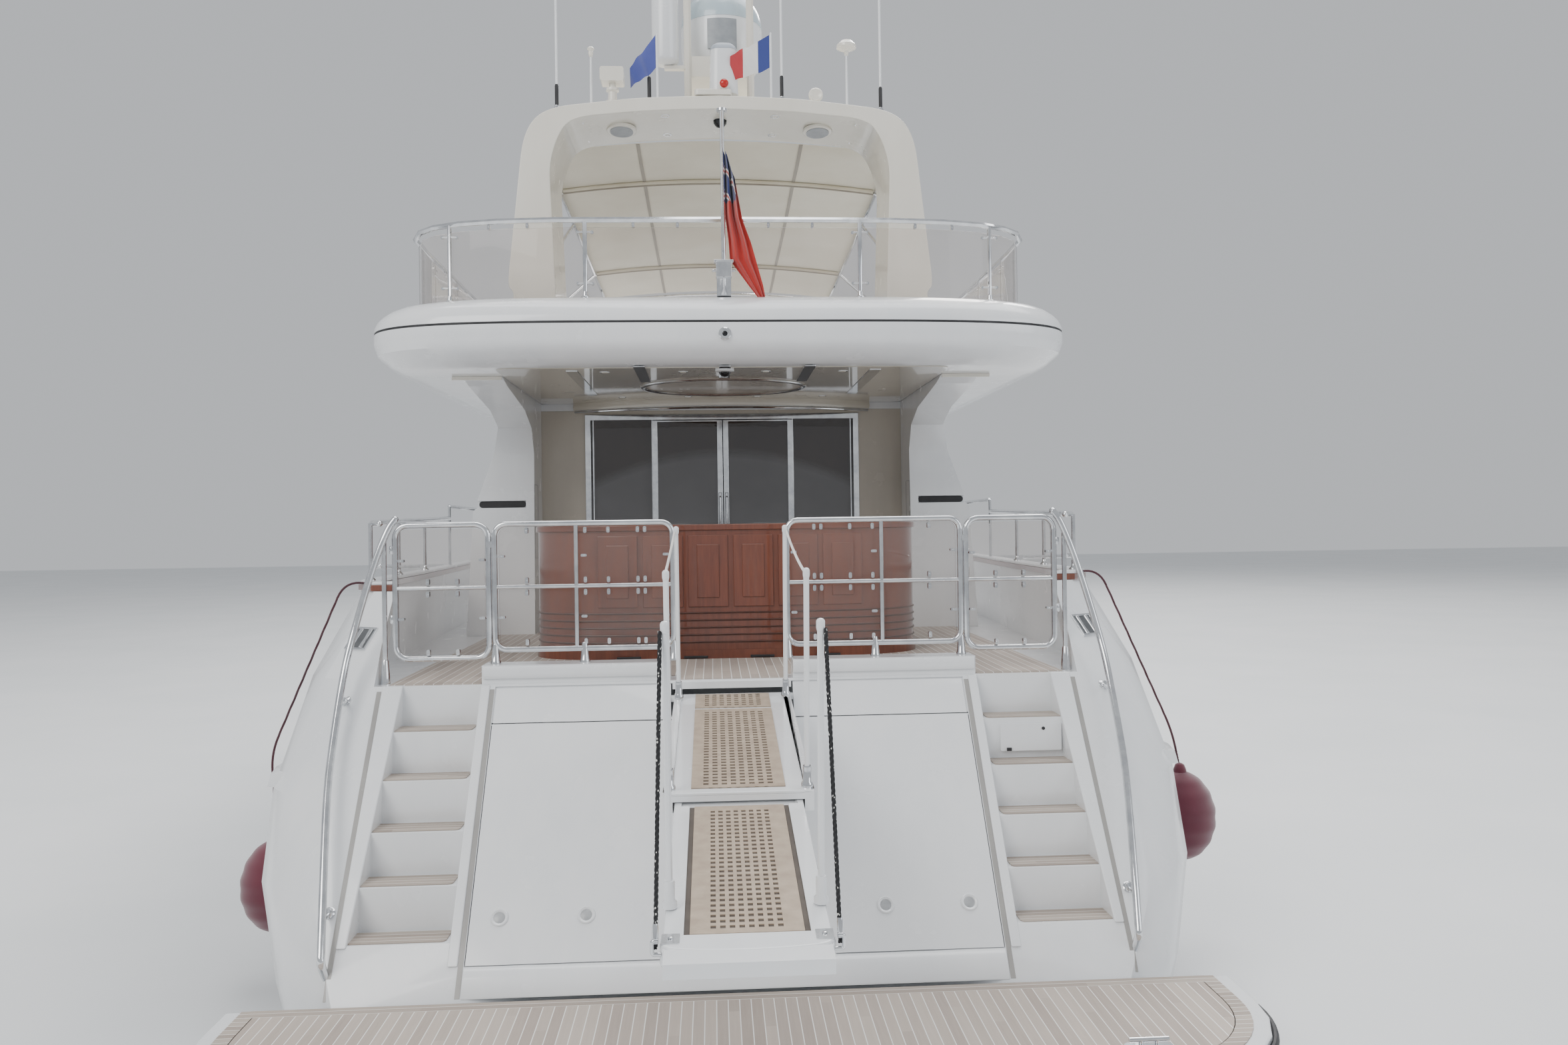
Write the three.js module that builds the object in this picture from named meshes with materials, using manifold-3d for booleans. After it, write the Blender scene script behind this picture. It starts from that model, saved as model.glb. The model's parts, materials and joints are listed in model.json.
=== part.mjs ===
// A 26 m motor yacht as an assembly of separate pieces, in millimetres.
// +Y is forward, +X is starboard, +Z is up; the origin is on the waterline, amidships, in the centre plane.
import * as THREE from "three";
import { mergeVertices } from "three/addons/utils/BufferGeometryUtils.js";
import Module from "manifold-3d";

const wasm = await Module();
wasm.setup();

// Driving dimensions
const gap = 0.4;
const deckZ = 1980;
const coamingZ = 2100;
const platformZ = 400;
const transomTopY = -10620;
const transomFootY = -11800;
const platformAftY = -13000;
const bowY = 13000;
const panelHalf = 1520;
const stairInner = 1610;
const stairOuter = 2230;
const treads = 5;
const bulwarkZ = 2560;
const capThick = 45;
const overhangAftY = -9500;
const overhangHalf = 2790;
const ceilingZ = 4220;
const flyDeckZ = 4380;
const flyTopZ = 4740;
const flyWallZ = 5250;
const flyFrontY = 1900;
const doorY = -6500;
const doorHeight = 2130;
const saloonFrontY = 4300;
const saloonHalf = 2250;
const wall = 70;
const roofZ = ceilingZ - gap;
const shaftX = 1150;
const bothSides = [
  { side: "port", s: -1 },
  { side: "stbd", s: 1 },
];

// Finishes: colour, roughness, metalness
const finishes = {
  gelcoat: [0xf2f0ec, 0.3, 0],
  teak: [0x9a8a7c, 0.8, 0],
  mahogany: [0x7a3016, 0.2, 0],
  chrome: [0xdfe2e6, 0.1, 1],
  glass: [0x2a2c30, 0.08, 0],
  clear: [0xcfd4d8, 0.05, 0],
  canvas: [0xefe6d0, 0.9, 0],
  vinyl: [0xece7dc, 0.7, 0],
  bronze: [0xa07840, 0.4, 1],
  maroon: [0x5a1522, 0.7, 0],
  red: [0xb02a24, 0.9, 0],
};

// Solids: a closed geometry becomes a solid that can be joined and cut
function solid(geometry) {
  const bare = geometry.clone();
  bare.deleteAttribute("normal");
  bare.deleteAttribute("uv");
  const merged = mergeVertices(bare, 1e-3);
  const make = (triVerts) =>
    new wasm.Manifold(
      new wasm.Mesh({ numProp: 3, vertProperties: merged.attributes.position.array, triVerts }),
    );
  const faces = new Uint32Array(merged.index.array);
  const made = make(faces);
  if (made.volume() >= 0) return made;
  for (let i = 0; i < faces.length; i += 3) {
    [faces[i + 1], faces[i + 2]] = [faces[i + 2], faces[i + 1]];
  }
  return make(faces);
}

function join(...parts) {
  return parts.flat().reduce((a, b) => a.add(b));
}

function cut(body, ...tools) {
  return tools.flat().reduce((a, b) => a.subtract(b), body);
}

function box([x0, x1], [y0, y1], [z0, z1]) {
  const g = new THREE.BoxGeometry(x1 - x0, y1 - y0, z1 - z0);
  g.translate((x0 + x1) / 2, (y0 + y1) / 2, (z0 + z1) / 2);
  return solid(g);
}

function outline(points) {
  return new THREE.Shape(points.map(([a, b]) => new THREE.Vector2(a, b)));
}

function extrude(points, from, to, axes) {
  const depth = to - from;
  const g = new THREE.ExtrudeGeometry(outline(points), { depth, bevelEnabled: false });
  g.translate(0, 0, from);
  g.applyMatrix4(new THREE.Matrix4().makeBasis(...axes));
  return solid(g);
}

const X = new THREE.Vector3(1, 0, 0);
const Y = new THREE.Vector3(0, 1, 0);
const Z = new THREE.Vector3(0, 0, 1);

// A [y, z] outline carried along X, a [z, x] outline along Y, and an [x, y] outline along Z
const alongX = (points, from, to) => extrude(points, from, to, [Y, Z, X]);
const alongY = (points, from, to) => extrude(points, from, to, [Z, X, Y]);
const alongZ = (points, from, to) => extrude(points, from, to, [X, Y, Z]);

function mirrored(body) {
  return body.mirror([1, 0, 0]);
}

// A skin through rings of equal length, closed at both ends by a fan to each end ring's middle
function loft(rings) {
  const n = rings[0].length;
  const middle = (ring) => [0, 1, 2].map((k) => ring.reduce((a, p) => a + p[k], 0) / n);
  const points = [...rings.flat(), middle(rings[0]), middle(rings[rings.length - 1])];
  const first = rings.length * n;
  const lastRing = (rings.length - 1) * n;
  const faces = [];
  for (let j = 0; j < n; j++) {
    const k = (j + 1) % n;
    for (let i = 0; i < rings.length - 1; i++) {
      const a = i * n;
      faces.push(a + j, a + k, a + n + k, a + j, a + n + k, a + n + j);
    }
    faces.push(first, k, j, first + 1, lastRing + j, lastRing + k);
  }
  const g = new THREE.BufferGeometry();
  g.setAttribute("position", new THREE.Float32BufferAttribute(points.flat(), 3));
  g.setIndex(faces);
  return solid(g);
}

// A route of straight stretches whose vertices a sweep meets exactly
class Route extends THREE.Curve {
  constructor(points) {
    super();
    this.points = points.map((p) => new THREE.Vector3(...p));
  }
  getUtoTmapping(u) {
    return u;
  }
  getPoint(t, target = new THREE.Vector3()) {
    const s = t * (this.points.length - 1);
    const i = Math.min(Math.floor(s + 1e-9), this.points.length - 2);
    return target.lerpVectors(this.points[i], this.points[i + 1], s - i);
  }
  getTangent(t, target = new THREE.Vector3()) {
    const p = this.points;
    const i = Math.round(t * (p.length - 1));
    const before = p[Math.max(i - 1, 0)];
    const here = p[i];
    const after = p[Math.min(i + 1, p.length - 1)];
    const a = here.clone().sub(before).normalize();
    const b = after.clone().sub(here).normalize();
    return target.copy(a.add(b)).normalize();
  }
}

function circle(r, sides, stretch = 1) {
  return Array.from({ length: sides }, (_, i) => {
    const a = (2 * Math.PI * (i + 0.5)) / sides;
    return [r * Math.cos(a), r * stretch * Math.sin(a)];
  });
}

function sweep(section, points) {
  const settings = { steps: points.length - 1, extrudePath: new Route(points), bevelEnabled: false };
  return solid(new THREE.ExtrudeGeometry(outline(section), settings));
}

function tube(points, r, sides = 6) {
  return sweep(circle(r, sides), points);
}

// The same route with its corners rounded off
function rounded(points, r, n = 3) {
  const v = points.map((p) => new THREE.Vector3(...p));
  const out = [v[0]];
  for (let i = 1; i < v.length - 1; i++) {
    const reach = Math.min(r, v[i].distanceTo(v[i - 1]) / 2.01, v[i].distanceTo(v[i + 1]) / 2.01);
    const a = v[i].clone().lerp(v[i - 1], reach / v[i].distanceTo(v[i - 1]));
    const b = v[i].clone().lerp(v[i + 1], reach / v[i].distanceTo(v[i + 1]));
    out.push(...new THREE.QuadraticBezierCurve3(a, v[i], b).getPoints(n));
  }
  out.push(v[v.length - 1]);
  return out.map((p) => p.toArray());
}

function turned(profile, segments, [x, y, z], axis = Z) {
  const g = new THREE.LatheGeometry(profile.map(([r, h]) => new THREE.Vector2(r, h)), segments);
  g.applyQuaternion(new THREE.Quaternion().setFromUnitVectors(Y, axis));
  g.translate(x, y, z);
  return solid(g);
}

const yacht = new THREE.Group();

function piece(name, body, finish) {
  const mesh = body.getMesh();
  const g = new THREE.BufferGeometry();
  const points = new Float32Array(mesh.numVert * 3);
  for (let i = 0; i < mesh.numVert; i++) {
    points.set(mesh.vertProperties.subarray(i * mesh.numProp, i * mesh.numProp + 3), i * 3);
  }
  g.setAttribute("position", new THREE.BufferAttribute(points, 3));
  g.setIndex(new THREE.BufferAttribute(mesh.triVerts, 1));
  const [color, roughness, metalness] = finishes[finish];
  const made = new THREE.Mesh(g, new THREE.MeshStandardMaterial({ color, roughness, metalness }));
  made.name = name;
  yacht.add(made);
}

const mix = (a, b, t) => a + (b - a) * t;
const clamp01 = (t) => Math.min(1, Math.max(0, t));
const ease = (t) => clamp01(t) ** 2 * (3 - 2 * clamp01(t));

// Hull lines
const rake = (transomTopY - transomFootY) / (deckZ - platformZ);

function transomY(z) {
  return z > platformZ ? transomFootY + (z - platformZ) * rake : transomFootY;
}

function stemY(z) {
  const t = clamp01((z + 1000) / 4300);
  return mix(8200, bowY - 40, Math.pow(t, 0.62));
}

const sheerZ = (t) => mix(bulwarkZ, 3330, ease((t - 0.25) / 0.7));
const sheerHalf = (t) => 2660 + 380 * ease(t / 0.35) - 2980 * Math.pow(clamp01((t - 0.42) / 0.58), 2.4);
const chineZ = (t) => mix(-160, 1500, Math.pow(clamp01((t - 0.45) / 0.55), 1.8));
const chineHalf = (t) => 2560 + 120 * ease(t / 0.3) - 2620 * Math.pow(clamp01((t - 0.3) / 0.7), 2.1);
const keelZ = (t) => mix(-760, -1050, ease(t / 0.5)) + 1000 * Math.pow(clamp01((t - 0.8) / 0.2), 2);
const deckHeight = (y) => mix(deckZ, 2760, ease((y - 2500) / 3500));

// Half of a section, from the keel to the bulwark's top, as [half-breadth, height]
function halfSection(t, inset) {
  const [xc, zc, xs, zs, zk] = [chineHalf(t), chineZ(t), sheerHalf(t), sheerZ(t), keelZ(t)];
  const flare = mix(xs + 300 * (1 - ease(t / 0.3)), mix(xc, xs, 0.42), ease((t - 0.35) / 0.6));
  const forward = ease(t / 0.3);
  const points = [
    [45, zk],
    [xc * 0.55, mix(zk, zc, 0.62)],
    [xc, zc],
    [mix(xc, flare, mix(0.33, 0.55, forward)), mix(platformZ, mix(zc, zs, 0.28), forward)],
    [mix(xc, flare, mix(0.86, 0.8, forward)), mix(880, mix(zc, zs, 0.42), forward)],
    [flare, mix(zc, zs, 0.56)],
    [mix(flare, xs, mix(0.3, 0.62, forward)), mix(zc, zs, 0.8)],
    [xs, zs],
  ];
  return points.map(([x, z]) => [Math.max(x - inset, 40), z]);
}

const gear = {
  shaftR: 38,
  propY: -10150,
  propZ: -1010,
  propR: 400,
  hubFront: 110,
  down: 0.11,
  rudderY: -10900,
  stockTopZ: -660,
};

const quarterRound = 700;
const hullRun = 24000;
const sternSpare = 150;

// Stations as [share of the length, how far the quarter's round is in from the side]
function stations() {
  const corner = [0, 0.1, 0.3, 0.6, 1].map((q) => {
    const d = q * quarterRound;
    return [d / hullRun, quarterRound - Math.sqrt(quarterRound ** 2 - (quarterRound - d) ** 2)];
  });
  const rest = [0.1, 0.18, 0.27, 0.36, 0.45, 0.54, 0.63, 0.71, 0.79, 0.86, 0.92, 0.97, 1];
  return [...corner, ...rest.map((t) => [t, 0])];
}

function hullRing([t, inset], bulwark) {
  const aft = t === 0 ? sternSpare : 0;
  const place = (x, z) => [x, mix(transomY(z), stemY(z), t) - aft, z];
  const outer = halfSection(t, inset);
  const [xs, zs] = outer[outer.length - 1];
  const inner = Math.max(xs - bulwark, 20);
  const y = mix(transomY(zs), stemY(zs), t);
  const floor = Math.min(deckHeight(y), zs - 60);
  const half = [...outer, [inner, zs], [Math.max(inner - 10, 14), floor]];
  const right = half.map(([x, z]) => place(x, z));
  const left = half.map(([x, z]) => place(-x, z)).reverse();
  return [...right, ...left];
}

// What lies aft of the transom: upright to the platform, raked above it
function behindTransom() {
  const [low, high] = [-2000, 3400];
  const profile = [
    [-14000, low],
    [transomFootY, low],
    [transomFootY, platformZ],
    [transomY(high), high],
    [-14000, high],
  ];
  return alongX(profile, -4000, 4000);
}

function hullBody() {
  const shell = cut(loft(stations().map((s) => hullRing(s, 130))), behindTransom());
  const footprint = alongZ(saloonFootprint(1), deckZ, 4000);
  const cleared = cut(shell, cockpitClear(), stairCuts(), footprint);
  const dressed = join(cleared, coaming(), rubRail(1), rubRail(-1));
  return join(cut(dressed, garage(), panelGroove(), passerellePocket(), propTunnels()), rudderBosses());
}

// The quarters stand up to the bulwark; between them the deck runs out to the transom's top
function cockpitClear() {
  return box([-stairOuter - 60, stairOuter + 60], [transomTopY - 900, transomTopY + 800], [deckZ, 3400]);
}

const riser = (deckZ - platformZ) / (treads + 1);
const going = (transomTopY - transomFootY) / (treads + 1);

function stairOutline() {
  const points = [[transomFootY - 900, platformZ + riser]];
  for (let i = 1; i <= treads; i++) {
    const y = transomFootY + going * (i + 1);
    points.push([y + 30, platformZ + riser * i]);
    points.push([y, platformZ + riser * (i + 1)]);
  }
  points.push([transomTopY, 3300], [transomFootY - 900, 3300]);
  return points;
}

function stairCuts() {
  const one = alongX(stairOutline(), stairInner, stairOuter);
  return [one, mirrored(one)];
}

const door = { topZ: 1750, footZ: 560, thick: 60, seam: 6, room: 26, pinR: 5, pinIn: 6 };
const garageSize = { half: 1440, forwardY: -8600, floorZ: 620, roofZ: 1640 };

// The raked outline of the garage door's slab, in [y, z]
function doorOutline(grow, deep) {
  const [foot, top] = [door.footZ - grow, door.topZ + grow];
  return [
    [transomY(foot) - 300 * (grow > 0), foot],
    [transomY(foot) + deep, foot],
    [transomY(top) + deep, top],
    [transomY(top) - 300 * (grow > 0), top],
  ];
}

function garage() {
  const mouth = alongX(doorOutline(door.seam, door.thick + door.room), -panelHalf, panelHalf);
  const g = garageSize;
  const hollow = alongX(
    [
      [transomY(g.floorZ) - 100, g.floorZ],
      [g.forwardY, g.floorZ],
      [g.forwardY, g.roofZ],
      [transomY(g.roofZ) - 100, g.roofZ],
    ],
    -g.half,
    g.half,
  );
  return [mouth, hollow];
}

// The groove that carries the door's seam up to the coaming and across under it
function panelGroove() {
  const [depth, width, top] = [12, 10, 1965];
  const strip = (low, high, x0, x1) =>
    alongX(
      [
        [transomY(low) - 20, low],
        [transomY(low) + depth, low],
        [transomY(high) + depth, high],
        [transomY(high) - 20, high],
      ],
      x0,
      x1,
    );
  const side = strip(door.topZ, top, panelHalf - width, panelHalf);
  return [side, mirrored(side), strip(top - width, top, -panelHalf, panelHalf)];
}

function rudderBosses() {
  const at = (s, z) => [s * shaftX, gear.rudderY, z];
  return [-1, 1].map((s) => tube([at(s, gear.stockTopZ), at(s, -300)], 85, 10));
}

function propTunnels() {
  const run = [
    [0, -12600, -760],
    [0, -9300, -760],
  ];
  const one = tube(run, 420, 10).translate([shaftX, 0, -140]);
  return [one, mirrored(one)];
}

// Passerelle: hinged at the transom's top, sloping down aft
const slope = THREE.MathUtils.degToRad(7.2);
const gangway = {
  x: 0,
  hingeY: -10640,
  hingeZ: 1872,
  half: 330,
  stage1: 1900,
  stage2: 1500,
  thick: 66,
  postTop: 1120,
  tipPostIn: 350,
};

function passerellePocket() {
  const half = gangway.half + 65;
  return box([gangway.x - half, gangway.x + half], [transomTopY - 500, transomTopY + 760], [1768, 1960]);
}

function hull(body) {
  piece("hull", body, "gelcoat");
}

// The bathing platform, its corners rounded, bolted to the transom's foot
function swimPlatform() {
  const { half, cornerR, thick, steps } = { half: 2760, cornerR: 855, thick: 130, steps: 7 };
  const corner = Array.from({ length: steps }, (_, i) => {
    const a = (Math.PI / 2) * (i / (steps - 1));
    return [half - cornerR * (1 - Math.cos(a)), platformAftY + cornerR * (1 - Math.sin(a))];
  });
  const front = transomFootY - gap;
  const port = corner.map(([x, y]) => [-x, y]);
  const plan = [[half, front], [-half, front], ...port, ...corner.reverse()];
  const slab = alongZ(plan, platformZ - thick, platformZ);
  const knees = [-1500, 1500].map((x) =>
    alongX(
      [
        [front, platformZ - thick],
        [front, platformZ - 420],
        [platformAftY + 250, platformZ - thick],
      ],
      x - 60,
      x + 60,
    ),
  );
  piece("swim_platform", join(slab, knees), "teak");
}

function garageDoor() {
  const slab = alongX(doorOutline(0, door.thick), -panelHalf + door.seam, panelHalf - door.seam);
  const pinY = transomY(door.topZ) + door.pinIn;
  const pinZ = door.topZ - door.pinIn;
  const reach = panelHalf - gap;
  const pin = tube([[-reach, pinY, pinZ], [reach, pinY, pinZ]], door.pinR, 8);
  piece("garage_door", join(slab, pin), "gelcoat");
}

// The wood-edged cap on the bulwark, from quarter to quarter round the bow
function capBody() {
  const ring = ([t, inset], s) => {
    const [breadth, z] = halfSection(t, inset).pop();
    const x = s * (breadth - 65);
    const y = mix(transomY(z), stemY(z), t);
    const w = Math.min(85, breadth);
    return [
      [x - w, y, z + gap],
      [x + w, y, z + gap],
      [x + w, y, z + capThick],
      [x - w, y, z + capThick],
    ];
  };
  const run = stations().slice(2);
  return join(...[1, -1].map((s) => loft(run.map((station) => ring(station, s)))));
}

function bulwarkCap() {
  piece("bulwark_cap", capBody(), "mahogany");
}

// The belt moulding on the hull's side, ending in a small step at each quarter
function rubRail(s) {
  const ring = ([t, inset]) => {
    const points = halfSection(t, inset);
    const breadthAt = (z) => {
      const i = points.findIndex(([, h]) => h > z);
      const [a, b] = i < 1 ? points.slice(-2) : [points[i - 1], points[i]];
      return mix(a[0], b[0], clamp01((z - a[1]) / (b[1] - a[1])));
    };
    const z = mix(1360, 2500, ease((t - 0.1) / 0.85));
    const y = mix(transomY(z), stemY(z), t);
    const [low, high] = [breadthAt(z), breadthAt(z + 110)];
    return [
      [s * (low - 120), y, z],
      [s * (low + 40), y, z + 12],
      [s * (high + 32), y, z + 92],
      [s * (high - 120), y, z + 110],
    ];
  };
  return loft(stations().slice(3, -1).map(ring));
}

// Running gear under the stern
function runningGear(hullShape) {
  const seat = hullShape.translate([0, 0, -gap]);
  bothSides.forEach(({ side, s }) => {
    const at = (y) => [s * shaftX, y, gear.propZ + (y - gear.propY) * gear.down];
    const aftEnd = gear.propY + (gear.hubFront + gap) * Math.cos(Math.atan(gear.down));
    const shaft = tube([at(aftEnd), at(-4600)], gear.shaftR, 8);
    const bracketY = gear.propY + 420;
    const legs = [-260, 260].map((dx) => {
      const [x, y, z] = at(bracketY);
      return tube([[x, y, z], [x + dx * 1.6, y, -250]], 34, 4);
    });
    const barrel = tube([at(bracketY - 130), at(bracketY + 130)], 72, 8);
    piece("shaft_" + side, cut(join(shaft, barrel, legs), seat), "bronze");
    propeller(side, at(gear.propY));
    rudder(side, s);
  });
}

function propeller(side, [x, y, z]) {
  const hub = turned(
    [
      [0, -130],
      [60, -110],
      [88, 0],
      [88, gear.hubFront],
      [0, gear.hubFront],
    ],
    10,
    [0, 0, 0],
    Y,
  );
  const blade = (k) => {
    const rings = [60, 180, 300, gear.propR].map((r, i) => {
      const twist = [1.0, 0.72, 0.52, 0.45][i];
      const w = [70, 150, 165, 60][i];
      const c = Math.cos(twist);
      const d = Math.sin(twist);
      return [
        [w * c, w * d, r],
        [-9 * d, 9 * c, r],
        [-w * c, -w * d, r],
        [9 * d, -9 * c, r],
      ];
    });
    return loft(rings).rotate([0, 72 * k, 0]);
  };
  const wheel = join(hub, [0, 1, 2, 3, 4].map(blade));
  const tilt = THREE.MathUtils.radToDeg(Math.atan(gear.down));
  const hand = side === "port" ? mirrored(wheel) : wheel;
  piece("propeller_" + side, hand.rotate([tilt, 0, 0]).translate([x, y, z]), "bronze");
}

function rudder(side, s) {
  const blade = (half) =>
    [
      [-half * 0.3, 260],
      [-half, 60],
      [-half * 0.35, -420],
      [half * 0.35, -420],
      [half, 60],
      [half * 0.3, 260],
    ].map(([x, y]) => [x + s * shaftX, y + gear.rudderY]);
  const body = alongZ(blade(42), -1480, -735);
  const stock = tube(
    [
      [s * shaftX, gear.rudderY, -740],
      [s * shaftX, gear.rudderY, gear.stockTopZ - gap],
    ],
    45,
    8,
  );
  piece("rudder_" + side, join(body, stock), "bronze");
}

// Flybridge deck: a rounded slab with a raised edge and a groove, its aft edge overhanging the cockpit
const flyFront = [
  { share: -1, back: 1000 },
  { share: -0.86, back: 400 },
  { share: -0.5, back: 0 },
  { share: 0.5, back: 0 },
  { share: 0.86, back: 400 },
  { share: 1, back: 1000 },
];
const sternRound = 1150;

function flyPlan(inset) {
  const half = overhangHalf - inset;
  const aft = overhangAftY + inset;
  const n = 14;
  const stern = Array.from({ length: n + 1 }, (_, i) => {
    const a = (Math.PI * i) / n;
    const c = Math.cos(a);
    const q = Math.abs(c) < 1e-9 ? 0 : Math.sign(c) * Math.pow(Math.abs(c), 0.45);
    return [half * q, aft + sternRound - sternRound * Math.pow(Math.max(Math.sin(a), 0), 0.55)];
  });
  return [...flyFront.map(({ share, back }) => [half * share, flyFrontY - inset - back]), ...stern];
}

function flyRing(outer, inner, low, high) {
  return cut(alongZ(flyPlan(outer), low, high), alongZ(flyPlan(inner), low - 10, high + 10));
}

// The wall round the flybridge's forward part, falling away aft
function flyWall() {
  const ring = flyRing(60, 190, flyTopZ - 60, flyWallZ);
  const away = alongX(
    [
      [-12000, flyTopZ - 100],
      [-5400, flyTopZ - 100],
      [-5300, flyTopZ],
      [-3900, flyWallZ - 60],
      [-3500, flyWallZ + 10],
      [-12000, flyWallZ + 10],
    ],
    -4000,
    4000,
  );
  return cut(ring, away);
}

function flybridgeDeck() {
  const levels = [
    { z: ceilingZ, inset: 300 },
    { z: 4265, inset: 120 },
    { z: 4345, inset: 25 },
    { z: 4430, inset: 0 },
    { z: 4530, inset: 0 },
    { z: 4645, inset: 60 },
    { z: 4722, inset: 160 },
    { z: flyTopZ, inset: 240 },
  ];
  const ring = ({ z, inset }) => flyPlan(inset).map(([x, y]) => [x, y, z]);
  const slab = loft(levels.map(ring));
  const well = alongZ(flyPlan(420), flyDeckZ, flyTopZ + 10);
  const groove = flyRing(-20, 16, 4506, 4524);
  piece("flybridge_deck", join(cut(slab, well, groove), flyWall()), "gelcoat");
}

// Saloon: a hollow shell, its sides leaning in, with windows cut
function saloonRing(inset, z, lean) {
  const half = saloonHalf - inset - lean;
  return [
    [-half, doorY + 20, z],
    [half, doorY + 20, z],
    [half, 2300 - inset - lean, z],
    [half * 0.62, saloonFrontY - inset - lean * 5.6, z],
    [-half * 0.62, saloonFrontY - inset - lean * 5.6, z],
    [-half, 2300 - inset - lean, z],
  ];
}

function saloonFootprint(grow) {
  return saloonRing(-grow, 0, 0).map(([x, y]) => [x, y]);
}

function saloonShell() {
  const foot = deckZ + gap;
  const sill = 2850;
  const outer = loft([saloonRing(0, foot, 0), saloonRing(0, sill, 20), saloonRing(0, roofZ, 330)]);
  const inner = loft([
    saloonRing(wall, foot - 10, 0),
    saloonRing(wall, sill, 20),
    saloonRing(wall, roofZ - wall, 310),
  ]);
  const open = box([-saloonHalf + 80, saloonHalf - 80], [doorY - 50, doorY + 200], [foot - 10, roofZ - wall]);
  return cut(outer, inner, open, sideWindows(0), frontWindow(0));
}

function windowOutline(inset) {
  return [
    [doorY + 700 + inset, 2960 + inset],
    [1500 - inset, 2960 + inset],
    [900 - inset, 3860 - inset],
    [doorY + 1000 + inset, 3860 - inset],
  ];
}

function sideWindows(inset) {
  return alongX(windowOutline(inset), -3000, 3000);
}

function frontWindow(inset) {
  return alongY(
    [
      [3060 + inset, -1230 + inset],
      [3060 + inset, 1230 - inset],
      [3900 - inset, 1060 - inset],
      [3900 - inset, -1060 + inset],
    ],
    2600,
    6000,
  );
}

function paneBand() {
  const ring = (inset, z, lean) => saloonRing(inset, z, lean);
  const sill = 2850;
  const outer = loft([ring(20, sill, 20), ring(20, roofZ, 330)]);
  const inner = loft([ring(32, sill - 10, 16), ring(32, roofZ + 10, 332)]);
  return cut(outer, inner);
}

function saloon() {
  const shell = saloonShell();
  const [frontAt, wallTop] = [2200, roofZ - wall];
  const [all, low] = [[-3000, 3000], [0, wallTop - gap]];
  piece("saloon_roof", shell.intersect(box(all, [-8000, 6000], [wallTop, roofZ + 10])), "gelcoat");
  piece("saloon_front", shell.intersect(box(all, [frontAt + gap, 6000], low)), "gelcoat");
  bothSides.forEach(({ side, s }) => {
    const x = s > 0 ? [0, 3000] : [-3000, 0];
    piece("saloon_side_" + side, shell.intersect(box(x, [-8000, frontAt], low)), "gelcoat");
  });
  const band = paneBand();
  const sides = band.intersect(sideWindows(gap));
  bothSides.forEach(({ side, s }) => {
    const keep = box(s > 0 ? [0, 3000] : [-3000, 0], [-8000, 3000], [2000, 4200]);
    piece("side_glass_" + side, sides.intersect(keep), "glass");
  });
  const ahead = box([-2000, 2000], [2700, 6000], [2900, 4100]);
  piece("windscreen_glass", band.intersect(frontWindow(gap)).intersect(ahead), "glass");
}

// Aft bulkhead and its doors: two fixed outer leaves, two sliding inner leaves
const doorway = { half: 1370, frame: 55 };

function bulkhead() {
  const inside = saloonHalf - 80 - gap;
  const top = roofZ - wall - gap;
  const outlineAt = [
    [deckZ + gap, -inside],
    [deckZ + gap, inside],
    [3000, inside],
    [top, inside - 260],
    [top, -inside + 260],
    [3000, -inside],
  ];
  const slab = alongY(outlineAt, doorY + 25, doorY + 85);
  const clear = doorway.half + gap;
  const open = box([-clear, clear], [doorY - 100, doorY + 300], [deckZ - 10, deckZ + doorHeight + gap]);
  piece("saloon_bulkhead", cut(slab, open), "gelcoat");
  const f = doorway.frame;
  const [low, high] = [deckZ + gap, deckZ + doorHeight];
  const ring = cut(
    box([-doorway.half, doorway.half], [doorY + 10, doorY + 130], [low, high]),
    box([-doorway.half + f, doorway.half - f], [doorY - 10, doorY + 200], [low + 25, high - f]),
  );
  const panes = bothSides.map(({ s }) => {
    const x = [s * 690, s * (doorway.half - f + 5)].sort((a, b) => a - b);
    return box(x, [doorY + 92, doorY + 104], [low + 20, high - f + 5]);
  });
  const posts = bothSides.map(({ s }) => {
    const x = [s * 660, s * 715].sort((a, b) => a - b);
    return box(x, [doorY + 84, doorY + 112], [low + 20, high - f + 5]);
  });
  piece("saloon_door_frame", join(ring, panes, posts), "chrome");
  bothSides.forEach(({ side, s }) => {
    const span = (a, b) => [s * a, s * b].sort((p, q) => p - q);
    const [bottom, top2] = [low + 25 + gap, high - f - 6];
    const leaf = cut(
      box(span(4, 705), [doorY + 36, doorY + 70], [bottom, top2]),
      box(span(59, 660), [doorY + 30, doorY + 80], [bottom + 60, top2 - 60]),
    );
    const pane = box(span(50, 670), [doorY + 48, doorY + 56], [bottom + 50, top2 - 50]);
    const pull = tube(
      rounded(
        [
          [s * 32, doorY + 40, 2880],
          [s * 32, doorY - 20, 2880],
          [s * 32, doorY - 20, 3280],
          [s * 32, doorY + 40, 3280],
        ],
        20,
        1,
      ),
      11,
    );
    piece("door_leaf_" + side, join(leaf, pane, pull), "chrome");
  });
}

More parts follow.
